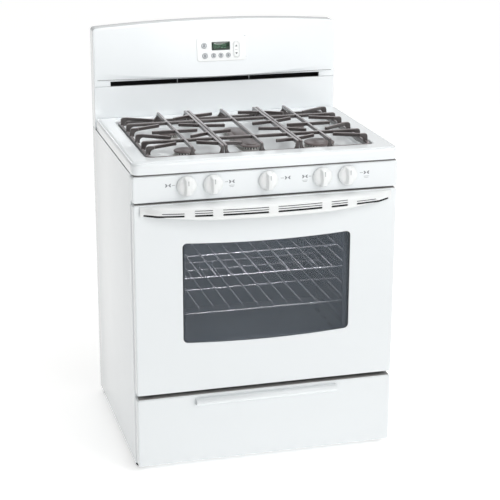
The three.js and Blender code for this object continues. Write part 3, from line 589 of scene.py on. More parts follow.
def soften(mesh, sharp):
    """Smooth faces, with edges sharper than an angle in degrees kept sharp."""
    work = bmesh.new()
    work.from_mesh(mesh)
    bmesh.ops.remove_doubles(work, verts=work.verts, dist=2e-6)
    bmesh.ops.dissolve_degenerate(work, edges=work.edges, dist=1e-6)
    bmesh.ops.recalc_face_normals(work, faces=work.faces)
    limit = math.radians(sharp)
    for face in work.faces:
        face.smooth = True
    for edge in work.edges:
        if len(edge.link_faces) == 2:
            edge.smooth = edge.calc_face_angle(0) < limit
    work.to_mesh(mesh)
    work.free()


def to_object(name, shape):
    mesh = bpy.data.meshes.new(name)
    mesh.from_pydata([tuple(c * MM for c in p) for p in shape.points], [], shape.faces)
    obj = bpy.data.objects.new(name, mesh)
    bpy.context.scene.collection.objects.link(obj)
    return obj


def bake_modifiers(obj):
    """Replaces an object's mesh with what its modifiers make of it."""
    bpy.context.view_layer.update()
    graph = bpy.context.evaluated_depsgraph_get()
    made = bpy.data.meshes.new_from_object(obj.evaluated_get(graph))
    old = obj.data
    obj.modifiers.clear()
    obj.data = made
    bpy.data.meshes.remove(old)


def settle(obj, finish, body, slot=None, replaces=(), sharp=38):
    """Gives a made object its finish and its place in the frame, and hides the nodes it replaces; the slot
    argument is not used.
    """
    slot = slot or (finish if replaces else None)
    soften(obj.data, sharp)
    obj.data.materials.clear()
    obj.data.materials.append(FINISHES[finish])
    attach(obj, body)
    if replaces:
        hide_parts(*replaces)
    return obj


def piece(name, shape, finish, body, slot=None, replaces=(), sharp=38):
    return settle(to_object(name, shape), finish, body, slot, replaces, sharp)


def carve(obj, cutters):
    """Takes the cutters' solids out of an object."""
    tool = to_object(obj.name + "_cutter", cutters)
    for target in (obj, tool):
        work = bmesh.new()
        work.from_mesh(target.data)
        bmesh.ops.remove_doubles(work, verts=work.verts, dist=2e-6)
        bmesh.ops.recalc_face_normals(work, faces=work.faces)
        work.to_mesh(target.data)
        work.free()
    modifier = obj.modifiers.new("cut", "BOOLEAN")
    modifier.operation = "DIFFERENCE"
    modifier.solver = "EXACT"
    modifier.object = tool
    bake_modifiers(obj)
    bpy.data.objects.remove(tool)


# ---------------------------------------------------------------- geometry node trees
def wire_tree():
    """Round wire along drawn lines, with its bends rounded."""
    graph, given, out = new_group(
        "bent_wire",
        "GeometryNodeTree",
        [
            ("Geometry", GEOMETRY, None),
            ("Wire Radius", FLOAT, 0.002),
            ("Bend Radius", FLOAT, 0.006),
            ("Sides", "NodeSocketInt", 10),
            ("Material", "NodeSocketMaterial", None),
        ],
        [("Geometry", GEOMETRY)],
    )
    lines = graph.add("GeometryNodeMeshToCurve", {"Mesh": given["Geometry"]}).outputs[0]
    bends = graph.add(
        "GeometryNodeFilletCurve",
        {"Curve": lines, "Radius": given["Bend Radius"], "Count": 5, "Limit Radius": True},
        mode="POLY",
    ).outputs[0]
    section = graph.add(
        "GeometryNodeCurvePrimitiveCircle",
        {"Resolution": given["Sides"], "Radius": given["Wire Radius"]},
    ).outputs[0]
    wire = graph.add(
        "GeometryNodeCurveToMesh", {"Curve": bends, "Profile Curve": section, "Fill Caps": True}
    ).outputs[0]
    finish_tree(graph, wire, given["Material"], out)
    return graph.tree


def scatter_tree():
    """One small part set at every drawn point, turned to face along the point's own direction."""
    graph, given, out = new_group(
        "set_at_points",
        "GeometryNodeTree",
        [
            ("Geometry", GEOMETRY, None),
            ("Part", "NodeSocketObject", None),
            ("Size", FLOAT, 1.0),
            ("Turn Spread", FLOAT, 0.0),
            ("Seed", "NodeSocketInt", 7),
            ("Material", "NodeSocketMaterial", None),
        ],
        [("Geometry", GEOMETRY)],
    )
    part = graph.add("GeometryNodeObjectInfo", {"Object": given["Part"]}).outputs["Geometry"]
    facing = graph.add(
        "GeometryNodeInputNamedAttribute", {"Name": "facing"}, data_type="FLOAT_VECTOR"
    ).outputs[0]
    turn = graph.add(
        "FunctionNodeAlignRotationToVector", {"Vector": facing}, axis="Z"
    ).outputs[0]
    spin = graph.add(
        "FunctionNodeRandomValue",
        {2: 0.0, 3: given["Turn Spread"], "Seed": given["Seed"]},
        data_type="FLOAT",
    ).outputs[1]
    about = graph.add("FunctionNodeAxisAngleToRotation", {"Axis": (0, 0, 1), "Angle": spin}).outputs[0]
    rotation = graph.add(
        "FunctionNodeRotateRotation", {0: turn, 1: about}, rotation_space="LOCAL"
    ).outputs[0]
    placed = graph.add(
        "GeometryNodeInstanceOnPoints",
        {
            "Points": given["Geometry"],
            "Instance": part,
            "Rotation": rotation,
            "Scale": given["Size"],
        },
    ).outputs[0]
    finish_tree(graph, placed, given["Material"], out)
    return graph.tree


def teeth_tree():
    """Teeth spaced evenly along a closed line, square to it."""
    graph, given, out = new_group(
        "teeth_on_path",
        "GeometryNodeTree",
        [
            ("Geometry", GEOMETRY, None),
            ("Count", "NodeSocketInt", 32),
            ("Tooth Size", "NodeSocketVector", (0.002, 0.003, 0.005)),
            ("Material", "NodeSocketMaterial", None),
        ],
        [("Geometry", GEOMETRY)],
    )
    line = graph.add("GeometryNodeMeshToCurve", {"Mesh": given["Geometry"]}).outputs[0]
    spaced = graph.add(
        "GeometryNodeResampleCurve", {"Curve": line, "Count": given["Count"]}, mode="COUNT"
    ).outputs[0]
    along = graph.add("GeometryNodeInputTangent").outputs[0]
    turn = graph.add(
        "FunctionNodeAlignRotationToVector", {"Vector": along}, axis="X", pivot_axis="Z"
    ).outputs[0]
    tooth = graph.add("GeometryNodeMeshCube", {"Size": given["Tooth Size"]}).outputs[0]
    placed = graph.add(
        "GeometryNodeInstanceOnPoints", {"Points": spaced, "Instance": tooth, "Rotation": turn}
    ).outputs[0]
    finish_tree(graph, placed, given["Material"], out)
    return graph.tree


def finish_tree(graph, geometry, material, out):
    real = graph.add("GeometryNodeRealizeInstances", {"Geometry": geometry}).outputs[0]
    done = graph.add(
        "GeometryNodeSetMaterial", {"Geometry": real, "Material": material}
    ).outputs[0]
    graph.tree.links.new(done, out["Geometry"])


def grow(name, points, edges, tree_maker, values, finish, facing=None):
    """An object whose drawn points and lines a node tree turns into a plain mesh."""
    tree = bpy.data.node_groups.get(tree_maker) or TREES[tree_maker]()
    mesh = bpy.data.meshes.new(name)
    mesh.from_pydata([tuple(c * MM for c in p) for p in points], edges, [])
    if facing:
        layer = mesh.attributes.new("facing", "FLOAT_VECTOR", "POINT")
        for item, direction in zip(layer.data, facing):
            item.vector = direction
    obj = bpy.data.objects.new(name, mesh)
    bpy.context.scene.collection.objects.link(obj)
    modifier = obj.modifiers.new("grow", "NODES")
    modifier.node_group = tree
    values = dict(values, Material=FINISHES[finish])
    for item in tree.interface.items_tree:
        if item.item_type == "SOCKET" and item.in_out == "INPUT" and item.name in values:
            modifier[item.identifier] = values[item.name]
    bake_modifiers(obj)
    for attribute in [a.name for a in obj.data.attributes if a.name == "facing"]:
        obj.data.attributes.remove(obj.data.attributes[attribute])
    return obj


TREES = {"bent_wire": wire_tree, "set_at_points": scatter_tree, "teeth_on_path": teeth_tree}


def polylines(lines):
    """Points and edges of several open lines."""
    points, edges = [], []
    for line in lines:
        base = len(points)
        points.extend(line)
        edges.extend((base + i, base + i + 1) for i in range(len(line) - 1))
    return points, edges


# ---------------------------------------------------------------- pressed sheet pieces
def pan_rings(ring_at, y_front, y_back, wall, edge, steps=4):
    """Rings of a pressed pan from its inner face, round its rear rim, to its front face."""
    rings = [front(ring_at(wall + edge), y_front + wall)]
    for c, s in arc(steps):
        rings.append(front(ring_at(wall + edge * (1 - s)), y_front + wall + edge * c))
    rings += [front(ring_at(wall), y_back), front(ring_at(0), y_back)]
    for c, s in arc(steps):
        rings.append(front(ring_at(edge * c), y_front + edge * (1 - s)))
    rings.append(front(ring_at(edge + 1.5), y_front))
    return rings


def window_ring(grow_by):
    """The window's outline: upright sides, top and bottom edges that sag in the middle."""
    inset = 18 - grow_by
    low, high = GLASS_LOW, GLASS_HIGH
    sag = WINDOW_SAG
    return rect_ring(
        low.x + inset, high.x - inset, low.z + sag + inset, high.z - inset,
        13 + grow_by, bow_low=-sag, bow_high=-sag, along=24,
    )


WINDOW_SAG = 9.0


def build_door_skin():
    low, high = DOOR_LOW, DOOR_HIGH

    def ring_at(inset):
        return rect_ring(
            low.x + inset, high.x - inset, low.z + inset, high.z - inset, 7 - inset * 0.8, along=24
        )

    rings = pan_rings(ring_at, FACE_Y, high.y, SHEET, 4.5)
    rings.append(front(window_ring(7), FACE_Y))
    rings.append(front(window_ring(2.2), FACE_Y))
    rings += [front(window_ring(1.6 * (1 - s)), FACE_Y + 1.3 * c) for c, s in arc(3)]
    rings.append(front(window_ring(0), FACE_Y + SHEET))
    skin = to_object("door_skin", Shape().loft(rings, wrap=True))
    notches = Shape()
    for sign in (-1, 1):
        hinge_low, hinge_high = corners("door_hinge_left" if sign < 0 else "door_hinge_right")
        notches.block(
            (hinge_low.x - 3, FACE_Y + 3.5, low.z - 4), (hinge_high.x + 3, high.y + 4, low.z + 5), 0.6, 2
        )
    carve(skin, notches)
    settle(skin, "white_enamel", "oven_door", replaces=["door_panel"])


def plain_pan(name, low, high, edge, corner, node, body):
    """A pressed sheet pan, open at the back."""

    def ring_at(inset):
        return rect_ring(
            low.x + inset, high.x - inset, low.z + inset, high.z - inset,
            corner - inset * 0.8, along=4,
        )

    rings = pan_rings(ring_at, FACE_Y, high.y, SHEET, edge)
    shape = Shape().loft(rings, start=True, end=True)
    return piece(name, shape, "white_enamel", body, replaces=[node])


def build_drawer_front():
    low, high = Vector(DRAWER_LOW), Vector(DRAWER_HIGH)
    plain_pan("drawer_face", low, high, 4.5, 7, "drawer_front", "storage_drawer")
    z, y, reach = 206, FACE_Y - 4, 208
    profile = [(0, -reach + 16), (8.2, -reach + 16), (8.6, -reach), (9.2, -reach - 1.4),
               (10.3, -reach - 1.2), (11, -reach + 0.6)]
    profile += [(r, -h) for r, h in reversed(profile)]
    shape = Shape().turn(profile, (0, y, z), "X", 32)
    piece("drawer_grip", shape, "white_enamel", "storage_drawer", slot="white_enamel")


def build_control_panel():
    plain_pan("control_face", PANEL_LOW, PANEL_HIGH, 5, 8, "control_panel", "range_body")


def build_joint_shade_strips():
    """Painted shade: grey strips on the upper flanges, so the joints between the panels read dark."""
    for name, low, high, body in (
        ("drawer_seal", DRAWER_LOW, DRAWER_HIGH, "storage_drawer"),
        ("door_seal", DOOR_LOW, DOOR_HIGH, "oven_door"),
        ("control_seal", PANEL_LOW, PANEL_HIGH, "range_body"),
    ):
        shape = Shape().block(
            (low.x + 5, FACE_Y + 3.2, high.z - 0.4), (high.x - 5, high.y - 0.5, high.z + 1.6), 0.3, 2
        )
        piece(name, shape, "shadow_grey", body)


def build_side_panels():
    for sign, name in ((-1, "left"), (1, "right")):
        low, high = corners(f"side_panel_{name}")
        outer = max(abs(low.x), abs(high.x))
        y0, y1 = low.y, high.y
        bend = [(outer - 4 * c, y0 + 4 * (1 - s)) for c, s in arc(5)]
        rear = [(outer - 2.5 * (1 - s), y1 - 2.5 * c) for c, s in arc(4)]
        section = [(outer - 26, y0 + SHEET), (outer - 26, y0)] + bend[::-1]
        section += rear[::-1]
        section += [(outer - 18, y1), (outer - 18, y1 - SHEET)]
        section += [(outer - SHEET - 1.5 * (1 - s), y1 - SHEET - 1.5 * c) for c, s in arc(3)]
        section += [(outer - SHEET - 2.5 * c, y0 + SHEET + 2.5 * (1 - s)) for c, s in arc(3)][::-1]
        section = [(sign * x, y) for x, y in section]
        shape = Shape().loft([plan(section, low.z), plan(section, high.z)], start=True, end=True)
        shape.block(
            (min(sign * (outer - 20), sign * (outer - 1)), y0 + 1, high.z - SHEET),
            (max(sign * (outer - 20), sign * (outer - 1)), GUARD_Y, high.z), 0.4, 2,
        )
        piece(
            f"side_{name}", shape, "white_enamel", "range_body",
            replaces=[f"side_panel_{name}"], sharp=35,
        )


def build_door_glass():
    """The tinted outer pane, with ground edges."""
    y0, y1 = GLASS_LOW.y, GLASS_HIGH.y
    rings = [front(window_ring(16.5), y0), front(window_ring(17.6), y0 + 0.3),
             front(window_ring(18), y0 + 1), front(window_ring(18), y1 - 1),
             front(window_ring(17), y1)]
    piece(
        "window_pane", Shape().loft(rings, start=True, end=True), "tinted_glass", "oven_door",
        replaces=["door_glass"],
    )


# ---------------------------------------------------------------- handle
# Rows of cooling slots: height above the floor, slot height, and the spans they run over.
SLOT_ROWS = (
    (768.5, 5.6, ((13, 141), (168, 218), (245, 352))),
    (775.6, 2.6, ((13, 141), (168, 218), (245, 306))),
    (782.0, 2.4, ((13, 141), (168, 218))),
)
HANDLE = {"end_reach": 22.0, "tip_reach": 7.0, "wall": 3.0, "nose": 12.0}


def handle_reach(x):
    """How far the bow stands out from the door, tapering quickly at its tips."""
    half = HANDLE_HIGH.x
    full = FACE_Y - HANDLE_LOW.y
    bow = full - (full - HANDLE["end_reach"]) * (x / half) ** 2
    tip = smooth_step(half * 0.86, half, abs(x))
    return bow + (HANDLE["tip_reach"] - bow) * tip


def handle_section(x, half):
    low, high = HANDLE_LOW.z, HANDLE_HIGH.z
    back, wall, nose = HANDLE_HIGH.y, HANDLE["wall"], HANDLE["nose"]
    y = FACE_Y - handle_reach(x)
    lift = 13.0 * smooth_step(half * 0.35, half, abs(x)) ** 1.3
    z0 = low + lift
    depth = min(nose, (back - y) * 0.45)
    inner = min(wall, (back - y) * 0.6)
    points = [(back, high), (y + (back - y) * 0.5, high - 0.6)]
    points += [(y + 1.2 + depth * (1 - s), high - 1.2 - 9 * c) for c, s in arc(6)]
    points += [(y + 0.3, z0 + nose + 4), (y, z0 + nose)]
    points += [(y + depth * c, z0 + nose * (1 - s)) for c, s in arc(7)][1:]
    points += [(y + depth + 1.2, z0 + 0.5), (y + depth + 1.4, z0 + 1.8)]
    points += [(y + inner + 1.5, z0 + nose * 0.75), (y + inner, z0 + nose + 3), (y + inner + 0.6, high - 16)]
    points += [(y + inner + 1 + 5 * c, high - 11 + 5 * s) for c, s in arc(4)]
    points += [(back, high - 5)]
    return side(points, x)


def build_handle():
    half = HANDLE_HIGH.x - 2
    spread = [-half + 2 * half * i / 80 for i in range(81)]
    bow = Shape().loft([handle_section(x, half) for x in spread], start=True, end=True)
    skin = to_object("handle_bow", bow)
    cutters = Shape()
    for z, height, spans in SLOT_ROWS:
        for x0, x1 in spans:
            for sign in (-1, 1):
                ends = sorted((sign * x0, sign * x1))
                ring = rect_ring(
                    ends[0], ends[1], z - height / 2, z + height / 2, height / 2.05,
                    along=1, corner=4,
                )
                cutters.loft(
                    [front(ring, HANDLE_LOW.y - 8), front(ring, FACE_Y - 3)], start=True, end=True
                )
    carve(skin, cutters)
    settle(
        skin, "white_plastic", "oven_door", replaces=["door_handle"], sharp=32
    )
    # Painted shade: a black strip behind the slots, so they read dark like open vents.
    slot_shade = []
    for x in spread[1:-1]:
        y = FACE_Y - handle_reach(x) + HANDLE["wall"] + 0.8
        y = min(y, FACE_Y - 1.6)
        slot_shade.append([(x, y, 765), (x, y + 1, 765), (x, y + 1, 785), (x, y, 785)])
    piece("handle_lining", Shape().loft(slot_shade, start=True, end=True), "flue_black", "oven_door")


# ---------------------------------------------------------------- knobs
def smooth_step(low, high, value):
    t = min(max((value - low) / (high - low), 0.0), 1.0)
    return t * t * (3 - 2 * t)


def knob_height(u, w, radius, grip):
    """How far a knob's face stands proud at a point of its plan."""
    r = min(math.hypot(u, w) / radius, 1.0)
    skirt = 4.0 + 9.5 * (1 - r**5)
    waist = 6.6 + 1.6 * (abs(w) / radius) ** 2
    flank = 1 - smooth_step(waist - 1.2, waist + 3.0, abs(u))
    end = 1 - smooth_step(radius * 0.70, radius * 0.99, abs(w))
    crown = grip - 0.020 * u * u - 0.0035 * w * w
    ridge = skirt + (crown - skirt) * flank * (0.15 + 0.85 * end)
    return max(skirt, ridge)


def build_knobs():
    for i in range(1, 6):
        low, high = corners(f"knob_{i}")
        centre = (low + high) / 2
        radius, grip = (high.x - low.x) / 2, high.y - low.y
        steps = 96
        shares = [0.06, 0.12, 0.18, 0.24, 0.3, 0.36, 0.43, 0.5, 0.57, 0.64, 0.71, 0.78, 0.84,
                  0.89, 0.93, 0.965, 0.99]
        rings = []
        for share in shares:
            ring = []
            for a in steps_round(steps):
                u, w = share * radius * math.cos(a), share * radius * math.sin(a)
                ring.append((centre.x + u, high.y - knob_height(u, w, radius, grip), centre.z + w))
            rings.append(ring)
        for lift, r in ((3.2, radius), (0.8, radius), (0.0, radius - 0.8)):
            rings.append(
                [
                    (centre.x + r * math.cos(a), high.y - lift, centre.z + r * math.sin(a))
                    for a in steps_round(steps)
                ]
            )
        shape = Shape().loft(rings, start=True, end=True)
        piece(
            f"knob_body_{i}", shape, "white_plastic", f"knob_{i}",
            replaces=[f"knob_{i}"], sharp=60,
        )
        mark = Shape().block(
            (centre.x - 0.7, low.y - 0.12, centre.z + 6), (centre.x + 0.7, low.y + 2.2, centre.z + 19), 0.3, 2
        )
        piece(f"knob_mark_{i}", mark, "printed_grey", f"knob_{i}")


def build_symbols():
    """Printed burner signs beside the knobs: two flames nose to nose, and a dash to the knob."""
    signs = ((-281, 1, True), (-103, -1, False), (56, -1, True), (106, 1, False), (286, -1, False))
    for k, (x, toward, plain) in enumerate(signs):
        shape = Shape()
        y = FACE_Y

        def carried(u, w, d):
            return (u, d, w)

        for flip in (-1, 1):
            flame = [(0.5, 0), (5.2, 4.6), (8.4, 4.9), (6.4, 0), (8.4, -4.9), (5.2, -4.6)]
            outline = [(x + flip * u, 846 + w) for u, w in flame]
            shape.prism(outline if flip > 0 else outline[::-1], carried, y - 0.12, y + 0.3)
        start, end = sorted((x + toward * 10.5, x + toward * 19.5))
        shape.block((start, y - 0.12, 845.4), (end, y + 0.3, 846.6), 0.1, 1)
        if not plain:
            for row, width in ((835.4, 8), (831.6, 6)):
                shape.block((x - width, y - 0.12, row - 0.5), (x + width, y + 0.3, row + 0.5), 0.1, 1)
        piece(f"burner_sign_{k + 1}", shape, "printed_grey", "range_body")


# ---------------------------------------------------------------- cooktop
WELL = {"half": 328.0, "front": -232.5, "rear": 245.5, "ledge": 898.0, "floor": 888.0, "shelf": 18.0}


def well_ring(grow_by):
    radius = 22 + grow_by / 2
    return rect_ring(
        -WELL["half"] - grow_by, WELL["half"] + grow_by, WELL["front"] - grow_by,
        WELL["rear"] + grow_by, radius, along=8, corner=8,
    )


def build_cooktop():
    low, high = TOP_LOW, TOP_HIGH
    edge, wall = 12.0, 2.0
    ledge, floor, shelf = WELL["ledge"], WELL["floor"], WELL["shelf"]

    def rim(inset):
        return rect_ring(
            low.x + inset, high.x - inset, low.y + inset, high.y - inset,
            22 - inset * 0.6, along=8, corner=8,
        )

    rings = [
        plan(well_ring(wall - shelf - 8), floor - wall),
        plan(well_ring(wall - shelf), floor - wall),
        plan(well_ring(wall - shelf), ledge - wall),
        plan(well_ring(wall), ledge - wall),
        plan(well_ring(wall), high.z - wall),
        plan(rim(wall), high.z - wall),
        plan(rim(wall), low.z),
        plan(rim(0.3), low.z),
        plan(rim(0), low.z + 0.6),
    ]
    rings += [plan(rim(edge * c), high.z - edge * (1 - s)) for c, s in arc(8)]
    rings.append(plan(rim(edge + 1.5), high.z))
    rings.append(plan(well_ring(8), high.z))
    rings += [plan(well_ring(6 * (1 - s)), high.z - 6 * c) for c, s in arc(5)]
    rings += [plan(well_ring(-4 * c), ledge + 4 * (1 - s)) for c, s in arc(4)]
    rings += [plan(well_ring(-shelf + 3 + 0.01 - 3 * s), ledge - 3 * c) for c, s in arc(3)]
    rings += [plan(well_ring(-shelf - 4 * c), floor + 4 * (1 - s)) for c, s in arc(4)]
    rings.append(plan(well_ring(-shelf - 6), floor))
    shape = Shape().loft(rings, start=True, end=True)
    piece(
        "cooktop_pan", shape, "white_enamel", "range_body",
        replaces=["cooktop"],
    )


# ---------------------------------------------------------------- burners
TOOTH = (0.0044, 0.0036, 0.0064)  # the metal between two ports, in metres


def build_burners():
    for place in ("front_left", "rear_left", "rear_right", "front_right"):
        head_low, head_high = corners(f"burner_head_{place}")
        cap_low, cap_high = corners(f"burner_cap_{place}")
        x, y = (cap_low.x + cap_high.x) / 2, (cap_low.y + cap_high.y) / 2
        r = (cap_high.x - cap_low.x) / 2
        base, top = WELL["floor"] + GAP, head_high.z
        rim = r - 4
        head = Shape().turn(
            [(0, head_low.z), (15.4, head_low.z), (16, head_low.z + 1), (16, base - 1), (rim + 5, base - 0.3),
             (rim + 5.6, base + 0.8), (rim + 5, base + 2.2), (rim + 1, base + 3.2), (rim - 1.2, base + 5),
             (rim - 1.2, top - 1.6), (rim - 0.4, top - 1), (rim - 0.6, top), (rim - 4, top),
             (rim - 5, base + 8), (0, base + 8)],
            (x, y, 0), "Z", 64,
        )
        piece(
            f"burner_ring_{place}", head, "cast_aluminium", "range_body",
            replaces=[f"burner_head_{place}"], sharp=30,
        )
        # Painted shade: a black core behind the teeth, so the ports between them read dark.
        port_shade = Shape().turn(
            [(0, base + 4.4), (rim - 0.6, base + 4.4), (rim - 0.6, top - 1.2), (0, top - 1.2)],
            (x, y, 0), "Z", 64,
        )
        piece(f"burner_ports_{place}", port_shade, "flue_black", "range_body")
        count = int(2 * math.pi * rim / 8.4)
        ring = [
            (x + (rim - 0.1) * math.cos(a), y + (rim - 0.1) * math.sin(a), base + 6.4)
            for a in steps_round(96)
        ]
        teeth = grow(
            f"burner_teeth_{place}", ring, [(j, (j + 1) % 96) for j in range(96)], "teeth_on_path",
            {"Count": count, "Tooth Size": TOOTH}, "cast_aluminium",
        )
        settle(teeth, "cast_aluminium", "range_body", slot="cast_aluminium")
        z = cap_low.z
        cap = Shape().turn(
            [(0, z + 0.6), (r - 7, z + 0.6), (r - 6, z), (r - 1.2, z), (r - 0.2, z + 0.7), (r, z + 1.8),
             (r - 0.5, z + 3), (r - 1.8, z + 4.1), (r - 4, z + 4.9), (r * 0.74, z + 5.6),
             (r * 0.68, z + 5.5), (r * 0.64, z + 5.9), (r * 0.4, z + 6.6), (r * 0.2, z + 6.9), (0, z + 7)],
            (x, y, 0), "Z", 72,
        )
        piece(
            f"burner_lid_{place}", cap, "cap_enamel", f"burner_cap_{place}",
            replaces=[f"burner_cap_{place}"], sharp=50,
        )
        build_igniter(place, x + (rim + 6.5) * 0.7, y + (rim + 6.5) * 0.72, base)
    build_long_burner()


def build_igniter(place, x, y, base):
    post = Shape().turn(
        [
            (0, base - 6), (3.1, base - 6), (3.1, base + 5),
            (2.7, base + 5.6), (2.2, base + 5.8), (0, base + 5.8),
        ],
        (x, y, 0), "Z", 20,
    )
    piece(f"igniter_{place}", post, "white_ceramic", "range_body")
    wire = [(0, base + 5), (0.8, base + 5), (0.8, base + 8.4), (0.4, base + 9), (0, base + 9)]
    tip = Shape().turn(wire, (x, y, 0), "Z", 12)
    piece(f"igniter_tip_{place}", tip, "bare_steel", "range_body")


def long_ring(radius, half, y, steps=20):
    """Points round two half circles joined by straight sides."""
    points = []
    for k, centre in ((0, y + half), (1, y - half)):
        for j in range(steps + 1):
            a = math.pi * k + math.pi * j / steps
            points.append((radius * math.cos(a), centre + radius * math.sin(a)))
        x = points[-1][0]
        goal = y - half if k == 0 else y + half
        start = points[-1][1]
        points += [(x, start + (goal - start) * j / 12) for j in range(1, 12)]
    return points


def build_long_burner():
    head_low, head_high = corners("burner_head_center")
    cap_low, cap_high = corners("burner_cap_center")
    y = (cap_low.y + cap_high.y) / 2
    r = (cap_high.x - cap_low.x) / 2
    half = (cap_high.y - cap_low.y) / 2 - r
    base, top = WELL["floor"] + GAP, head_high.z

    def ring(radius, z):
        return plan(long_ring(max(radius, 0.5), half, y), z)

    rim = r - 4
    rings = [ring(rim - 8, base - 0.3), ring(rim + 4, base - 0.3), ring(rim + 5, base + 1),
             ring(rim + 4.2, base + 2.4), ring(rim, base + 3.4), ring(rim - 1.4, base + 5),
             ring(rim - 1.4, top - 1.4), ring(rim - 0.8, top), ring(rim - 4, top), ring(rim - 4.6, base + 7)]
    shape = Shape().loft(rings, start=True, end=True)
    foot = head_low.z
    shape.turn([(0, foot), (15.4, foot), (16, foot + 1), (16, base), (0, base)], (0, y, 0), "Z", 40)
    piece(
        "burner_trough", shape, "cast_aluminium", "range_body",
        replaces=["burner_head_center"], sharp=30,
    )
    # Painted shade: a black core behind the teeth, so the ports between them read dark.
    port_shade = Shape().loft([ring(rim - 0.6, base + 4.4), ring(rim - 0.6, top - 1.2)], start=True, end=True)
    piece("burner_trough_ports", port_shade, "flue_black", "range_body")
    path = [(u, v, base + 6.4) for u, v in long_ring(rim - 0.1, half, y)]
    count = len(path)
    teeth = grow(
        "burner_trough_teeth", path, [(j, (j + 1) % count) for j in range(count)], "teeth_on_path",
        {"Count": 68, "Tooth Size": TOOTH}, "cast_aluminium",
    )
    settle(teeth, "cast_aluminium", "range_body", slot="cast_aluminium")
    z = cap_low.z
    rings = [ring(r - 7, z + 0.5), ring(r - 6, z), ring(r - 1.2, z), ring(r - 0.1, z + 0.9),
             ring(r, z + 1.9), ring(r - 0.6, z + 3), ring(r - 2, z + 3.8), ring(r - 5, z + 4.3),
             ring(r - 12, z + 4.8), ring(r - 13, z + 4.4), ring(r - 14.2, z + 4.4),
             ring(r - 15.2, z + 5.6), ring(r - 17, z + 6.4), ring(r - 20, z + 6.8), ring(r - 26, z + 7)]
    piece(
        "burner_long_lid", Shape().loft(rings, start=True, end=True), "cap_enamel", "burner_cap_center",
        replaces=["burner_cap_center"], sharp=50,
    )


# ---------------------------------------------------------------- grates
BAR_W, BAR_H = 8.0, 10.0
GRATE_TOP = 935.0
RAIL_LOW, RAIL_HIGH = 898.4, 912.0
GRATE_FRONT, GRATE_REAR = -229.0, 240.0
RAIL_X, INNER_X, MIDDLE_X, BURNER_X = 323.0, 113.0, 103.0, 198.0
BURNER_ROWS = (97.5, -127.5)


def top_bar(shape, start, end, width=BAR_W, tip=True):
    """A bar on edge between two plan points, with its far end rounded in plan."""
    a, b = Vector(start), Vector(end)
    ahead = (b - a).normalized()
    across = Vector((-ahead.y, ahead.x))
    half = width / 2
    outline = [a - across * half]
    if tip:
        outline += [
            b + across * half * -math.cos(t) + ahead * half * (math.sin(t) - 1)
            for t in (math.pi * k / 6 for k in range(7))
        ]
    else:
        outline += [b - across * half, b + across * half]
    outline.append(a + across * half)
    shape.loft(
        [[(p.x, p.y, z) for p in outline] for z in (GRATE_TOP - BAR_H, GRATE_TOP)], start=True, end=True
    )


def end_leg(shape, x, y, into, left, right):
    """A leg at a bar's end: rounded over at the top and flared at its foot."""
    half = BAR_W / 2
    foot, top = RAIL_HIGH - 2, GRATE_TOP
    rise, parts = top - BAR_H - foot, (0.25, 0.5, 0.75, 1)
    outline = [(x - half - left, foot), (x + half + right, foot)]
    outline += [(x + half + right * (1 - t) ** 1.5, foot + rise * t) for t in parts]
    outline += [(x + half, top - 1), (x - half, top - 1)]
    outline += [(x - half - left * (1 - t) ** 1.5, foot + rise * t) for t in parts[::-1]]
    shape.prism(outline, lambda u, w, d: (u, d, w), min(y, y + into * 8), max(y, y + into * 8))
    curve = [(y + into * (8 + 7 * (1 - s)), top - BAR_H + 0.5 - 7 * (1 - c)) for c, s in arc(5)]
    curve.append((y + into * 7, top - BAR_H - 6.5))
    curve.append((y + into * 7, top - BAR_H + 0.5))
    shape.prism(curve, lambda u, w, d: (d, u, w), x - half, x + half)


def arm_foot(shape, sign, y):
    """The foot of an arm on the outer rail: rounded over outside, curving in underneath."""
    out, top, under = RAIL_X - 0.5, GRATE_TOP, GRATE_TOP - BAR_H
    foot = RAIL_HIGH - 2
    outline = [(out, foot), (out - 1, foot + 8), (out - 1.5, top - 8)]
    outline += [(out - 1.5 - 8 * c, top - 8 * (1 - s)) for c, s in arc(5)][1:]
    outline += [(out - 26, top), (out - 26, under)]
    outline += [(out - 24 + 10 * (1 - k), under - 10 * q) for k, q in
                ((1 - math.sin(t), 1 - math.cos(t)) for t in (math.pi / 2 * j / 5 for j in range(6)))]
    outline += [(out - 13.5, foot + 3), (out - 16, foot)]
    outline = [(sign * u, w) for u, w in outline]
    shape.prism(outline, lambda u, w, d: (u, d, w), y - BAR_W / 2, y + BAR_W / 2)


OUTER_FINGERS = (
    ((303, 184), (230, 141)), ((303, 39), (228, 72)),
    ((303, -41), (228, -90)), ((303, -190), (228, -157)),
)
INNER_FINGERS = (
    ((113, 175), (172, 141)), ((113, 43), (172, 70)),
    ((113, -58), (172, -89)), ((113, -187), (172, -158)),
)
MIDDLE_FINGERS = (
    ((103, 172), (40, 190)), ((103, 40), (41, 28)),
    ((103, -52), (41, -38)), ((103, -188), (48, -196)),
)


def long_bar(shape, x, left, right):
    top_bar(shape, (x, GRATE_FRONT + 5), (x, GRATE_REAR - 5), tip=False)
    for y, into, grow_by in ((GRATE_FRONT, 1, 0.8), (GRATE_REAR, -1, 1.6)):
        end_leg(shape, x, y + into * 0.5, into, left * grow_by, right * grow_by)
        corner = [(y + into * (0.5 + 6 * c), GRATE_TOP - 6 * (1 - s)) for c, s in arc(5)]
        below = GRATE_TOP - BAR_H
        corner += [(y + into * 8, GRATE_TOP), (y + into * 8, below), (y + into * 0.5, below)]
        shape.prism(corner, lambda u, w, d: (d, u, w), x - BAR_W / 2, x + BAR_W / 2)


def rail_ring(sign, inset):
    inner = INNER_X - BAR_W / 2
    low, high = sorted((sign * (inner - 60), sign * (RAIL_X - inset)))
    return rect_ring(low, high, GRATE_FRONT + inset, GRATE_REAR - inset, 24 - inset, along=2, corner=8)


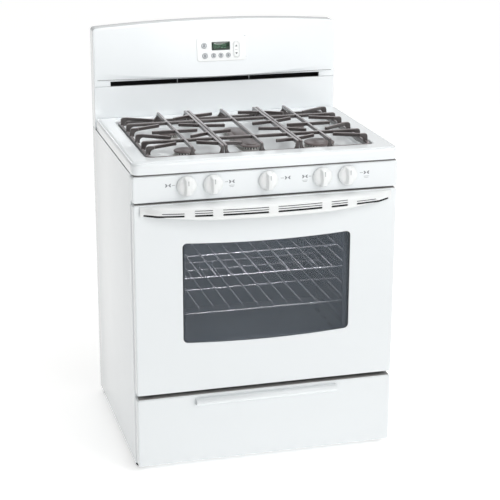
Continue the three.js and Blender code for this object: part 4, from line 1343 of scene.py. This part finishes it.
def build_grates():
    for sign, name in ((-1, "grate_left"), (1, "grate_right")):
        shape = Shape()
        inner = INNER_X - BAR_W / 2
        outline = [p for p in rail_ring(sign, 0) if sign * p[0] >= inner + 0.01]
        inside = [p for p in rail_ring(sign, 9) if sign * p[0] >= inner + 0.01]
        loop = sort_open(outline, sign, inner) + sort_open(inside, sign, inner)[::-1]
        shape.loft([plan(loop, RAIL_LOW), plan(loop, RAIL_HIGH)], start=True, end=True)
        long_bar(shape, sign * BURNER_X, 7, 7)
        long_bar(shape, sign * INNER_X, *((0, 8) if sign > 0 else (8, 0)))
        top_bar(shape, (sign * 200, -14), (sign * 268, -14))
        top_bar(shape, (sign * 200, -14), (sign * 134, -14))
        for y in BURNER_ROWS:
            top_bar(shape, (sign * 299, y), (sign * INNER_X, y), tip=False)
            arm_foot(shape, sign, y)
        for (a, b) in OUTER_FINGERS + INNER_FINGERS:
            top_bar(shape, (sign * a[0], a[1]), (sign * b[0], b[1]))
        for (a, b) in OUTER_FINGERS:
            arm_foot(shape, sign, a[1] + (b[1] - a[1]) * 0.0)
        grate_object(name, shape)
    shape = Shape()
    long_bar(shape, 0, 7, 7)
    for sign in (-1, 1):
        long_bar(shape, sign * MIDDLE_X, *((8, 0) if sign > 0 else (0, 8)))
        for (a, b) in MIDDLE_FINGERS:
            top_bar(shape, (sign * a[0], a[1]), (sign * b[0], b[1]))
    for y in BURNER_ROWS:
        top_bar(shape, (-MIDDLE_X, y), (MIDDLE_X, y), tip=False)
    end = MIDDLE_X + BAR_W / 2
    shape.block((-end, GRATE_FRONT, RAIL_LOW), (end, GRATE_FRONT + 9, RAIL_HIGH), 1.5, 2)
    shape.block((-end, GRATE_REAR - 9, RAIL_LOW), (end, GRATE_REAR, RAIL_HIGH), 1.5, 2)
    grate_object("grate_center", shape)


def sort_open(points, sign, inner):
    """Rail points from the front inner end, round the outside, to the rear inner end."""
    points = sorted(points, key=lambda p: math.atan2(p[1], sign * p[0] - inner + 1))
    first, last = points[0][1], points[-1][1]
    return [(sign * inner, first)] + points + [(sign * inner, last)]


def grate_object(node, shape):
    obj = to_object(node + "_casting", shape)
    fuse = obj.modifiers.new("fuse", "REMESH")
    fuse.mode = "VOXEL"
    fuse.voxel_size = 0.0015
    ease = obj.modifiers.new("ease", "SMOOTH")
    ease.factor, ease.iterations = 0.5, 4
    thin = obj.modifiers.new("thin", "DECIMATE")
    thin.ratio = 0.45
    bake_modifiers(obj)
    settle(obj, "grate_enamel", node, replaces=[node], sharp=80)


# ---------------------------------------------------------------- racks
RACK_PITCH = 43.2


def build_racks():
    for level in ("lower", "upper"):
        node = f"oven_rack_{level}"
        low, high = corners(node)
        frame_r, wire_r = 2.6, 1.9
        x0, x1, y0, y1 = low.x + frame_r, high.x - frame_r, low.y + frame_r, high.y - frame_r
        z = low.z + frame_r
        stop = high.z - wire_r
        frame_lines = [
            [(x0, y1 - 24, z), (x0, y0, z), (x1, y0, z), (x1, y1 - 24, z), (x1, y1, z),
             (x1 - 12, y1, stop), (x0 + 12, y1, stop), (x0, y1, z), (x0, y1 - 24, z)],
            [(x0, (y0 + y1) / 2, z), (x1, (y0 + y1) / 2, z)],
            [(x0, y1 - 22, z), (x1, y1 - 22, z)],
        ]
        points, edges = polylines(frame_lines)
        frame_piece = grow(
            f"rack_frame_{level}", points, edges, "bent_wire",
            {"Wire Radius": frame_r * MM, "Bend Radius": 0.009, "Sides": 12}, "chrome_wire",
        )
        settle(
            frame_piece, "chrome_wire", node, replaces=[node], sharp=50
        )
        wires = []
        for k in range(-6, 7):
            x = k * RACK_PITCH
            if abs(x) > x1 - 8:
                continue
            wires.append([(x, y0, z + 2.6), (x, y1 - 3, z + 2.6), (x, y1, stop)])
        points, edges = polylines(wires)
        wire_piece = grow(
            f"rack_wires_{level}", points, edges, "bent_wire",
            {"Wire Radius": wire_r * MM, "Bend Radius": 0.004, "Sides": 8}, "chrome_wire",
        )
        settle(wire_piece, "chrome_wire", node, slot="chrome_wire", sharp=50)


# ---------------------------------------------------------------- backguard
GUARD = {"drop": 15.0, "belly": 22.0, "crease_end": 1051.0, "crease_middle": 1029.0, "vent_top": 1023.0}
KEYPAD = {"x": 12.0, "z": 1111.0, "half_width": 77.0, "half_height": 37.0}


def arch_z(x, inset=0.0):
    return SHELL_HIGH.z - inset - GUARD["drop"] * (x / HALF) ** 2


def crease_z(x):
    middle, end = GUARD["crease_middle"], GUARD["crease_end"]
    return middle + (end - middle) * (x / HALF) ** 2


def belly(x, z):
    """How far the console's face stands proud of the backguard's front plane."""
    crown = GUARD["belly"] * max(0.0, 1 - (x / HALF) ** 2)
    crease = crease_z(x)
    if z >= crease:
        return crown * (arch_z(x) - z) / (arch_z(x) - crease)
    return crown * math.sqrt(max(0.0, (z - GUARD["vent_top"]) / (crease - GUARD["vent_top"])))


def arch_ring(inset, bottom):
    """The backguard's outline: upright sides, rounded shoulders and an arched top."""
    w, radius = HALF - inset, max(12 - inset, 1.0)
    shoulder = arch_z(HALF) - 12
    ring = [(-w + 2 * w * i / 8, bottom) for i in range(9)]
    ring += [(w, bottom + (shoulder - bottom) * i / 4) for i in range(1, 4)]
    ring += [(w - radius * c, shoulder + (arch_z(w - radius, inset) - shoulder) * s) for c, s in arc(6)]
    ring += [(x, arch_z(x, inset)) for x in (w - radius - 2 * (w - radius) * i / 24 for i in range(1, 24))]
    rise = arch_z(w - radius, inset) - shoulder
    ring += [(-(w - radius * c), shoulder + rise * s) for c, s in arc(6)][::-1]
    ring += [(-w, shoulder + (bottom - shoulder) * i / 4) for i in range(1, 4)]
    return ring


def build_backguard():
    low, high = SHELL_LOW, SHELL_HIGH
    wall, edge = SHEET, 5.0
    bottom = low.z
    rings = [front(arch_ring(wall + 8, bottom + wall + 8), high.y - wall)]
    rings.append(front(arch_ring(wall, bottom + wall), high.y - wall))
    rings.append(front(arch_ring(wall, bottom + wall), low.y))
    rings.append(front(arch_ring(0, bottom), low.y))
    for c, s in arc(5):
        rings.append(front(arch_ring(edge * c, bottom + edge * c), high.y - edge * (1 - s)))
    rings.append(front(arch_ring(edge + 2, bottom + edge + 2), high.y))
    shape = Shape().loft(rings, start=True, end=True)
    piece(
        "backguard_case", shape, "white_enamel", "range_body",
        replaces=["backguard_shell"],
    )
    build_console()


def build_console():
    """The sloping face: a belly with a curved crease, its outer edge rolled back."""
    roll, sheet = 5.0, SHEET
    vent_top = GUARD["vent_top"]
    columns = []
    for c, s in arc(5):
        columns.append((-HALF + roll * c, 1 - s))
    inner = 44
    columns += [(-HALF + roll + 1 + (2 * HALF - 2 * roll - 2) * i / inner, 0.0) for i in range(inner + 1)]
    columns += [(-x, d) for x, d in columns[:6]][::-1]

    def top_of(x):
        shoulder = 12.0
        beyond = abs(x) - (HALF - shoulder)
        if beyond <= 0:
            return arch_z(x)
        base = arch_z(HALF - shoulder) - shoulder
        return base + math.sqrt(max(0.0, shoulder**2 - beyond**2))

    def column(x, back_off):
        top = top_of(x)
        crease = min(crease_z(x), top - 20)
        zs = [vent_top + (crease - vent_top) * t for t in (0.0, 0.04, 0.12, 0.25, 0.45, 0.7, 0.9)]
        zs += [crease, crease + 2.0, crease + 6.0]
        last = zs[-1]
        zs += [last + (top - roll - 1 - last) * i / 10 for i in range(1, 11)]
        face = [(x, GUARD_Y - belly(x, z) + back_off, z) for z in zs]
        for c, s in arc(5):
            z = top - roll * (1 - s)
            swell = belly(x, min(z, top - roll)) * (1 - 0.3 * s)
            face.append((x, GUARD_Y - swell + roll * c + back_off * (1 - c), z))
        return face

    fronts = []
    for x, d in columns:
        fronts.append(column(x, roll * d))
    backs = [[(x, y + sheet, z) for x, y, z in col] for col in fronts]
    rows = len(fronts[0])
    shape = Shape()
    rings = []
    for f, b in zip(fronts, backs):
        rings.append(f + b[::-1])
    shape.loft(rings, start=False, end=False)
    count = 2 * rows
    for start, flip in ((0, True), ((len(rings) - 1) * count, False)):
        for j in range(rows - 1):
            quad = (start + j, start + j + 1, start + count - 2 - j, start + count - 1 - j)
            shape.faces.append(quad[::-1] if flip else quad)
    for sign in (-1, 1):
        ends = sorted((sign * 330.0, sign * (HALF - 0.3)))
        shape.block((ends[0], GUARD_Y, 1008.6), (ends[1], GUARD_Y + 8, vent_top + 1.5), 1.5, 3)
    obj = to_object("console_face", shape)
    cutters = Shape()
    w, h = KEYPAD["half_width"] - 1.5, KEYPAD["half_height"] - 1.5
    ring = rect_ring(-w, w, -h, h, 8, along=1)
    cutters.loft([front(ring, -14), front(ring, 14)], start=True, end=True)
    cutters.moved(keypad_matrix())
    carve(obj, cutters)
    settle(
        obj, "white_enamel", "range_body", replaces=["console_panel"], sharp=32
    )
    # Painted shadow: a thin black strip along the console's lower edge, standing for the shadow line under the
    # belly's overhang.
    shadow_line = []
    for i in range(75):
        x = -370 + 740 * i / 74
        z = GUARD["vent_top"] + 5.5
        y = GUARD_Y - belly(x, z)
        corner = ((-0.15, -0.55), (-0.15, 0.55), (1, 0.55), (1, -0.55))
        shadow_line.append([(x, y + dy, z + dz) for dy, dz in corner])
    piece("console_groove", Shape().loft(shadow_line, start=True, end=True), "flue_black", "range_body")
    posts = Shape()
    for x in (-122, 105):
        posts.block((x - 1.2, GUARD_Y + 7, 1008.6), (x + 1.2, GUARD_Y + 10, 1023.0), 0.8, 3)
    piece("vent_posts", posts, "bare_steel", "range_body")
    # Painted shade: the duct behind the vent slot is black, so the slot reads dark.
    ring = rect_ring(-329, 329, 1008.7, 1022.9, 2, along=1)
    inner = rect_ring(-328.4, 328.4, 1009.2, 1022.4, 1.6, along=1)
    duct = Shape().loft(
        [
            front(inner, GUARD_Y + 39), front(inner, GUARD_Y + 6),
            front(ring, GUARD_Y + 6), front(ring, GUARD_Y + 40),
        ],
        start=True, end=True,
    )
    piece("vent_duct", duct, "flue_black", "range_body")


def keypad_matrix():
    """The keypad's own plane, lying in the console's slope."""
    slope = (belly(0, 1080) - belly(0, 1140)) / 60
    place = Matrix.Translation((KEYPAD["x"], GUARD_Y - belly(KEYPAD["x"], KEYPAD["z"]), KEYPAD["z"]))
    return place @ Matrix.Rotation(-math.atan(slope), 4, "X")


BUTTONS = (
    ("key_bake", -54, 11, 8.5), ("key_broil", -52, -20, 8.5), ("key_clean", -25, -20, 7.5),
    ("key_timer", -2, -20, 7.5), ("key_clock", 21, -20, 7.5),
)


def build_keypad():
    matrix = keypad_matrix()
    w, h = KEYPAD["half_width"], KEYPAD["half_height"]

    def ring_at(inset):
        return rect_ring(-w + inset, w - inset, -h + inset, h - inset, 9 - inset * 0.7, along=1, corner=6)

    rings = [front(ring_at(0), 1.5)]
    rings += [front(ring_at(1.6 * c), -1.5 + 1.6 * (1 - s)) for c, s in arc(4)]
    rings.append(front(ring_at(2.6), -1.5))
    plate = to_object("keypad_panel", Shape().loft(rings, start=True, end=True).moved(matrix))
    holes = Shape()
    window = rect_ring(-30.4, 27.4, -4.4, 21.4, 2.4, along=1, corner=4)
    holes.loft([front(window, -8), front(window, 0.9)], start=True, end=True)
    for _, u, v, r in BUTTONS:
        holes.turn([(0, -0.9), (r + 0.5, -0.9), (r + 0.5, 8), (0, 8)], (u, 0, v), "Y", 40)
    slot = [(p[0] + 47, p[1] - 4) for p in long_ring(8.6, 15, 0)]
    holes.loft([front(slot, -8), front(slot, 0.9)], start=True, end=True)
    holes.moved(matrix)
    carve(plate, holes)
    settle(plate, "white_plastic", "range_body", replaces=["keypad_plate"], sharp=30)
    for name, u, v, r in BUTTONS:
        cap = Shape().turn(
            [(0, 0.05), (r, 0.05), (r, 2.0), (r - 0.25, 2.45), (r - 0.8, 2.7), (r * 0.5, 2.55), (0, 2.45)],
            (u, 0, v), "Y", 40,
        ).moved(matrix)
        button = name.replace("key_", "button_")
        piece(button, cap, "key_plastic", name, replaces=[name], sharp=40)
        sign = Shape()
        for k, row in enumerate((0.36, 0.0, -0.36)):
            width = r * (0.46 - 0.14 * (k % 2))
            sign.block((u - width, -2.72, v + row * r - 0.9), (u + width, -2.1, v + row * r + 0.9), 0.2, 1)
        sign.tube([(u + (r - 0.7) * math.cos(a), -2.6, v + (r - 0.7) * math.sin(a)) for a in steps_round(32)],
                  0.4, 6, closed=True)
        piece(name.replace("key_", "sign_"), sign.moved(matrix), "printed_dark", name)
    rocker = Shape()
    rings = []
    for r, y in ((7.9, 0.0), (7.9, -2.0), (7.6, -2.4), (7.0, -2.65), (5.5, -2.7)):
        rings.append([(p[0] + 47, y, p[1] - 4) for p in long_ring(r, 15, 0)])
    rocker.loft(rings, start=True, end=True).moved(matrix)
    piece(
        "button_rocker", rocker, "white_plastic", "key_up_down",
        slot="key_plastic", replaces=["key_up_down"], sharp=40,
    )
    arrows = Shape()
    for direction in (1, -1):
        tip = [(47 - 3.6, -4 + direction * 9), (47 + 3.6, -4 + direction * 9), (47, -4 + direction * 15)]
        arrows.prism(tip, lambda u, v, d: (u, d, v), -2.82, -2.2)
    arrows.block((43.5, -2.8, -4.5), (50.5, -2.2, -3.5), 0.2, 1)
    piece("button_rocker_arrows", arrows.moved(matrix), "printed_dark", "key_up_down")
    ring = Shape()
    outer = [(p[0] + 47, p[1] - 4) for p in long_ring(10.4, 15, 0)]
    ring.tube([(u, -1.5, v) for u, v in outer], 0.3, 6, closed=True).moved(matrix)
    piece("rocker_outline", ring, "printed_grey", "range_body")
    edge = Shape()
    corner = [(w - 9 + 9.3 * c, h - 9 + 9.3 * k) for c, k in arc(8)]
    line = [(w + 0.3, -h * 0.75)] + sorted(corner, key=lambda p: p[1])
    edge.tube([(u, -0.4, v) for u, v in line], 0.45, 6).moved(matrix)
    piece("keypad_edge_line", edge, "printed_grey", "range_body")
    build_display(matrix)


DIGIT_STROKES = (
    (-2.2, 2.2, 5.3, 5.9), (-2.2, 2.2, -5.9, -5.3), (-3.0, -2.4, -5.4, 5.4), (2.4, 3.0, -5.4, 5.4),
)


def build_display(matrix):
    glass = Shape()
    window = rect_ring(-30, 27, -4, 21, 2, along=1, corner=4)
    inner = rect_ring(-29.4, 26.4, -3.4, 20.4, 1.6, along=1, corner=4)
    glass.loft([front(window, 0.8), front(window, -0.9), front(inner, -1.2)], start=True, end=True)
    piece(
        "display_pane", glass.moved(matrix), "display_glass", "range_body",
        replaces=["display_window"],
    )
    segments = Shape()
    for x in (-20, -10.5, 2, 11.5):
        for u0, u1, v0, v1 in DIGIT_STROKES:
            segments.block((x + u0, -1.34, 8.5 + v0), (x + u1, -1.1, 8.5 + v1), 0.1, 1)
    for v in (-2.2, 2.2):
        segments.block((-6.5, -1.34, 8 + v), (-5.3, -1.1, 9.2 + v), 0.1, 1)
    piece("display_digits", segments.moved(matrix), "display_lit", "range_body")


# ---------------------------------------------------------------- inside and behind
BROIL = {"half": 205.0, "front": -150.0, "rear": 168.0, "z": 722.0, "runs": 6}
REAR_FACE = SHELL_HIGH.y
FEEDS = (
    (-230, -198, -118), (-156, -198, 96), (0, 0, -96), (156, 198, 96), (230, 198, -118),
)


def build_gasket():
    """A braided rope round the oven's mouth."""
    ring = rect_ring(-322, 322, 284, 746, 26, along=24, corner=10)
    rope = Shape().tube([(u, LINER_LOW.y - 1.7, v) for u, v in ring], 1.6, 8, closed=True)
    piece("door_gasket", rope, "braided_gasket", "range_body")


def build_broil_burner():
    """A serpentine heat tube under the oven's crown, with the lamp and the probe beside it."""
    half, z = BROIL["half"], BROIL["z"]
    span = (BROIL["rear"] - BROIL["front"]) / (BROIL["runs"] - 1)
    path = []
    for k in range(BROIL["runs"]):
        y, side_sign = BROIL["front"] + span * k, 1 if k % 2 == 0 else -1
        path += [(-side_sign * half, y, z), (side_sign * half, y, z)]
        if k < BROIL["runs"] - 1:
            for n in range(1, 8):
                turn = math.pi * n / 8
                reach = half + span / 2 * math.sin(turn)
                path.append((side_sign * reach, y + span / 2 * (1 - math.cos(turn)), z))
    piece("broil_burner", Shape().tube(path, 3.4, 12), "bare_steel", "range_body", sharp=60)
    rear = LINER_HIGH.y - 8
    dome = [(0, 0), (27, 0), (27, 3), (24, 5), (22, 14), (17, 21), (9, 25), (0, 26)]
    piece("oven_lamp", Shape().turn(dome, (-220, rear, 640), "Y", 40), "white_ceramic", "range_body")
    probe = Shape().tube([(235, rear, 690), (235, rear - 60, 690), (235, rear - 118, 690)], 2.4, 12)
    probe.turn([(0, 0), (11, 0), (11, 2.4), (4, 4), (0, 4)], (235, rear, 690), "Y", 24)
    piece("oven_probe", probe, "bare_steel", "range_body", sharp=50)


def build_insulation():
    """Mineral wool beside the oven, between the liner and the side panels."""
    for name, sign in (("left", -1), ("right", 1)):
        x0, x1 = sorted((sign * 313.5, sign * 376.0))
        wool = Shape().block((x0, -246, 302), (x1, 336, 768), 9, 5)
        piece(f"side_insulation_{name}", wool, "mineral_wool", "range_body", sharp=60)


def build_feed_tubes():
    """Bent tubes from the valves to the burner heads, under the cooktop."""
    for k, (x, u, v) in enumerate(FEEDS):
        run = [(x, -236, 852), (x, -214, 862), (x, -200, 866)]
        run += [(u, v - 22, 866), (u, v - 6, 868), (u, v, 874)]
        points, edges = polylines([run])
        tube = grow(
            f"feed_tube_{k + 1}", points, edges, "bent_wire",
            {"Wire Radius": 0.0036, "Bend Radius": 0.010, "Sides": 12}, "bare_steel",
        )
        settle(tube, "bare_steel", "range_body", sharp=60)


def build_rear_fittings():
    """Screw heads along the rear cover's edges, and the power inlet."""
    head = Shape().turn(
        [(0, 0), (4.6, 0), (4.6, 0.7), (4.0, 1.5), (2.6, 2.0), (2.2, 1.4), (0, 1.3)], (0, 0, 0), "Z", 24
    )
    part = to_object("screw_head", head)
    spots = [(sign * 370, REAR_FACE - 0.2, 62 + 100 * k) for sign in (-1, 1) for k in range(9)]
    spots += [(-300 + 120 * k, REAR_FACE - 0.2, z) for z in (52, 866) for k in range(6)]
    screws = grow(
        "rear_screws", spots, [], "set_at_points",
        {"Part": part, "Size": 1.0, "Turn Spread": 6.28, "Seed": 7}, "bare_steel",
        facing=[(0, 1, 0)] * len(spots),
    )
    bpy.data.objects.remove(part)
    settle(screws, "bare_steel", "range_body", sharp=40)
    inlet = Shape().block((270, REAR_FACE - 0.4, 92), (328, REAR_FACE + 4, 142), 2.4, 4)
    for z in (108, 126):
        inlet.turn([(0, -3.8), (5, -3.8), (5, -5.4), (0, -5.4)], (299, REAR_FACE, z), "Y", 24)
    piece("power_inlet", inlet, "dark_rubber", "range_body")


def build_inner_parts():
    build_gasket()
    build_broil_burner()
    build_insulation()
    build_feed_tubes()
    build_rear_fittings()


# ---------------------------------------------------------------- carried-over nodes
CAD_FINISHES = {
    "rear_cover": "galvanised_sheet", "base_frame": "galvanised_sheet", "oven_liner": "grey_enamel",
    "oven_floor": "grey_enamel", "bake_burner": "bare_steel", "door_liner": "grey_enamel",
    "door_inner_glass": "tinted_glass", "door_hinge_left": "bare_steel",
    "door_hinge_right": "bare_steel", "drawer_tray": "galvanised_sheet",
    "gas_manifold": "bare_steel", "gas_regulator": "cast_aluminium", "splash_panel": "white_enamel",
    "valve_stem_1": "bare_steel", "valve_stem_2": "bare_steel", "valve_stem_3": "bare_steel",
    "valve_stem_4": "bare_steel", "valve_stem_5": "bare_steel",
    "leveling_leg_front_left": "dark_rubber", "leveling_leg_front_right": "dark_rubber",
    "leveling_leg_rear_left": "dark_rubber", "leveling_leg_rear_right": "dark_rubber",
}


def finish_frame_nodes():
    for name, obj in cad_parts.items():
        finish = CAD_FINISHES.get(name, "white_enamel")
        for slot in obj.material_slots:
            slot.material = FINISHES[finish]


# ---------------------------------------------------------------- stage
# Soft square lights: name, place, what they face, and width, in metres.
AREA_LIGHTS = (
    ("key", (1.9, -3.2, 2.9), (0, 0, 0.7), 1.8),
    ("fill", (-3.6, -2.4, 2.2), (0, 0, 0.6), 2.6),
    ("top", (0.1, -0.3, 2.3), (0, 0.1, 0.9), 1.0),
    ("back", (1.2, 3.8, 2.6), (0, 0, 0.8), 2.4),
)
BEAM = {"place": (0.4, -3.1, 2.0), "aim": (0, 0.29, 1.1), "width": 21, "softness": 0.35}
SKY_LEVEL, SKY_RIGHT, SKY_UP, SKY_LEAST = 0.8, 0.6, 0.7, 0.1  # the sky's share in each direction
CAMERA = {"place": (-1.07299, -4.00271, 1.86982), "yaw": 15.38, "pitch": 17.63, "roll": 0.16}


def facing_to(place, aim):
    return (Vector(aim) - Vector(place)).to_track_quat("-Z", "Y").to_euler()


def build_stage(settings):
    floor = Shape()
    size = 40000.0
    floor.points = [(-size, -size, 0), (size, -size, 0), (size, size, 0), (-size, size, 0)]
    floor.faces = [(0, 1, 2, 3)]
    ground = to_object("studio_ground", floor)
    ground.data.materials.append(FINISHES["studio_floor"])
    world = bpy.data.worlds.new("studio")
    bpy.context.scene.world = world
    world.use_nodes = True
    background = world.node_tree.nodes["Background"]
    background.inputs["Color"].default_value = (1.0, 1.0, 0.995, 1.0)
    graph = Graph(world.node_tree)
    toward = graph.add("ShaderNodeTexCoord").outputs["Generated"]
    axes = graph.add("ShaderNodeSeparateXYZ", {0: toward}).outputs
    rightward = graph.math("MULTIPLY", axes["X"], SKY_RIGHT)
    upward = graph.math("MULTIPLY", axes["Z"], SKY_UP)
    level = graph.math("ADD", graph.math("ADD", rightward, upward), SKY_LEVEL)
    strength = graph.math("MULTIPLY", graph.math("MAXIMUM", level, SKY_LEAST), settings.sky)
    world.node_tree.links.new(strength, background.inputs["Strength"])
    bpy.context.scene.view_settings.view_transform = "Standard"
    for name, place, aim, size in AREA_LIGHTS:
        power = getattr(settings, name)
        name += "_light"
        data = bpy.data.lights.new(name, "AREA")
        data.shape = "SQUARE"
        data.size = size
        data.energy = power
        lamp = bpy.data.objects.new(name, data)
        bpy.context.scene.collection.objects.link(lamp)
        lamp.location = place
        lamp.rotation_euler = facing_to(place, aim)
    beam = bpy.data.lights.new("backguard_beam", "SPOT")
    beam.energy, beam.spot_size, beam.spot_blend = settings.splash, math.radians(BEAM["width"]), 1.0
    beam.shadow_soft_size = BEAM["softness"]
    lamp = bpy.data.objects.new("backguard_beam", beam)
    bpy.context.scene.collection.objects.link(lamp)
    lamp.location = BEAM["place"]
    lamp.rotation_euler = facing_to(BEAM["place"], BEAM["aim"])
    glow = bpy.data.lights.new("oven_glow", "AREA")
    glow.shape, glow.size, glow.size_y, glow.energy = "RECTANGLE", 0.5, 0.03, settings.oven
    lamp = bpy.data.objects.new("oven_glow", glow)
    lamp.location = (0, -0.232, 0.712)
    lamp.rotation_euler = (math.radians(38), 0, 0)
    bpy.context.scene.collection.objects.link(lamp)
    build_camera(settings)


def build_camera(settings):
    yaw, pitch, roll = (math.radians(CAMERA[k]) for k in ("yaw", "pitch", "roll"))
    data = bpy.data.cameras.new("camera")
    data.lens, data.sensor_width = settings.lens, 36.0
    data.clip_end = 100.0
    camera = bpy.data.objects.new("camera", data)
    bpy.context.scene.collection.objects.link(camera)
    camera.location = CAMERA["place"]
    ahead = Vector((math.sin(yaw) * math.cos(pitch), math.cos(yaw) * math.cos(pitch), -math.sin(pitch)))
    turn = ahead.to_track_quat("-Z", "Y").to_matrix() @ Matrix.Rotation(roll, 3, "Z")
    camera.rotation_euler = turn.to_euler()
    bpy.context.scene.camera = camera


# ---------------------------------------------------------------- settings
def color_property(name, description, code):
    return bpy.props.FloatVectorProperty(
        name=name, description=description, subtype="COLOR", size=4, min=0, max=1, default=srgb(code)
    )


class RangeColors(bpy.types.PropertyGroup):
    """Colours of the range's finishes."""

    enamel: color_property("Enamel", "White porcelain enamel of the outer sheets", "eff3f5")
    plastic: color_property("Plastic", "White moulded knobs, handle and keypad", "eff1f1")
    oven: color_property("Oven", "Grey porcelain of the oven's inside", "5c636c")
    grate: color_property("Grates", "Matt porcelain on the cast grates", "383130")
    cap: color_property("Caps", "Porcelain on the burner caps", "6f6463")
    glass: color_property("Glass", "Tint of the oven window", "3c4650")
    display: color_property("Display", "Clock window", "082a18")
    floor: color_property("Floor", "Studio floor", "f4f4f3")


def amount_property(name, description, value, **more):
    return bpy.props.FloatProperty(name=name, description=description, default=value, min=0, **more)


def power_property(name, description, watts):
    return amount_property(name, description, watts, subtype="POWER")


class RangeStage(bpy.types.PropertyGroup):
    """Studio lights and camera."""

    lens: bpy.props.FloatProperty(
        name="Lens", description="Camera lens in millimetres", default=104.7, min=10
    )
    sky: amount_property("Sky", "Strength of the light all round", 0.42)
    key: power_property("Key", "Main light, front right", 37.0)
    fill: power_property("Fill", "Soft light, front left", 0.5)
    top: power_property("Top", "Soft light over the cooktop", 7.6)
    splash: power_property("Splash", "Narrow light on the backguard", 118.0)
    back: power_property("Back", "Soft light behind", 4.0)
    oven: power_property("Oven", "Glow inside the oven", 2.7)


class RANGE_OT_finishes(bpy.types.Operator):
    """Makes every finish and gives the carried-over parts theirs"""

    bl_idname = "range.finishes"
    bl_label = "Finishes"

    def execute(self, context):
        make_finishes(context.scene.range_colors)
        finish_frame_nodes()
        return {"FINISHED"}


class RANGE_OT_stage(bpy.types.Operator):
    """Sets the floor, the lights and the camera"""

    bl_idname = "range.stage"
    bl_label = "Studio"

    def execute(self, context):
        build_stage(context.scene.range_stage)
        return {"FINISHED"}


class RANGE_OT_panels(bpy.types.Operator):
    """Presses the side panels, control panel and drawer front"""

    bl_idname = "range.panels"
    bl_label = "Enamelled Panels"

    def execute(self, context):
        build_side_panels()
        build_control_panel()
        build_symbols()
        build_drawer_front()
        build_joint_shade_strips()
        return {"FINISHED"}


class RANGE_OT_door(bpy.types.Operator):
    """Presses the oven door's skin and grinds its window pane"""

    bl_idname = "range.door"
    bl_label = "Oven Door"

    def execute(self, context):
        build_door_skin()
        build_door_glass()
        return {"FINISHED"}


class RANGE_OT_handle(bpy.types.Operator):
    """Moulds the bow handle with its cooling slots"""

    bl_idname = "range.handle"
    bl_label = "Door Handle"

    def execute(self, context):
        build_handle()
        return {"FINISHED"}


class RANGE_OT_knobs(bpy.types.Operator):
    """Moulds the five burner knobs"""

    bl_idname = "range.knobs"
    bl_label = "Knobs"

    def execute(self, context):
        build_knobs()
        return {"FINISHED"}


class RANGE_OT_cooktop(bpy.types.Operator):
    """Presses the cooktop with its well"""

    bl_idname = "range.cooktop"
    bl_label = "Cooktop"

    def execute(self, context):
        build_cooktop()
        return {"FINISHED"}


class RANGE_OT_burners(bpy.types.Operator):
    """Makes the burner heads, caps and igniters"""

    bl_idname = "range.burners"
    bl_label = "Burners"

    def execute(self, context):
        build_burners()
        return {"FINISHED"}


class RANGE_OT_grates(bpy.types.Operator):
    """Casts the three grates"""

    bl_idname = "range.grates"
    bl_label = "Grates"

    def execute(self, context):
        build_grates()
        return {"FINISHED"}


class RANGE_OT_racks(bpy.types.Operator):
    """Bends the wires of the two oven racks"""

    bl_idname = "range.racks"
    bl_label = "Oven Racks"

    def execute(self, context):
        build_racks()
        return {"FINISHED"}


class RANGE_OT_inner_parts(bpy.types.Operator):
    """Fits the gasket, broil burner, lamp, probe, insulation, feed tubes and rear screws"""

    bl_idname = "range.inner_parts"
    bl_label = "Inner Parts"

    def execute(self, context):
        build_inner_parts()
        return {"FINISHED"}


class RANGE_OT_backguard(bpy.types.Operator):
    """Forms the backguard and its sloping console"""

    bl_idname = "range.backguard"
    bl_label = "Backguard"

    def execute(self, context):
        build_backguard()
        return {"FINISHED"}


class RANGE_OT_keypad(bpy.types.Operator):
    """Moulds the keypad, its buttons and the clock window"""

    bl_idname = "range.keypad"
    bl_label = "Keypad"

    def execute(self, context):
        build_keypad()
        return {"FINISHED"}


OPERATORS = (
    RANGE_OT_finishes,
    RANGE_OT_stage,
    RANGE_OT_panels,
    RANGE_OT_door,
    RANGE_OT_handle,
    RANGE_OT_knobs,
    RANGE_OT_cooktop,
    RANGE_OT_burners,
    RANGE_OT_grates,
    RANGE_OT_racks,
    RANGE_OT_inner_parts,
    RANGE_OT_backguard,
    RANGE_OT_keypad,
)


class RANGE_PT_sidebar(bpy.types.Panel):
    """Lists the range's settings and the steps that build it"""

    bl_idname = "RANGE_PT_sidebar"
    bl_label = "Gas Range"
    bl_space_type = "VIEW_3D"
    bl_region_type = "UI"
    bl_category = "Gas Range"

    def draw(self, context):
        for settings in (context.scene.range_colors, context.scene.range_stage):
            box = self.layout.box()
            for key in settings.__annotations__:
                box.prop(settings, key)
        for operator in OPERATORS:
            self.layout.operator(operator.bl_idname)


CLASSES = (RangeColors, RangeStage) + OPERATORS + (RANGE_PT_sidebar,)


def register():
    for item in CLASSES:
        bpy.utils.register_class(item)
    bpy.types.Scene.range_colors = bpy.props.PointerProperty(type=RangeColors)
    bpy.types.Scene.range_stage = bpy.props.PointerProperty(type=RangeStage)


def unregister():
    del bpy.types.Scene.range_stage
    del bpy.types.Scene.range_colors
    for item in reversed(CLASSES):
        bpy.utils.unregister_class(item)


def main():
    register()
    for operator in OPERATORS:
        group, name = operator.bl_idname.split(".")
        getattr(getattr(bpy.ops, group), name)()


if __name__ == "__main__":
    main()
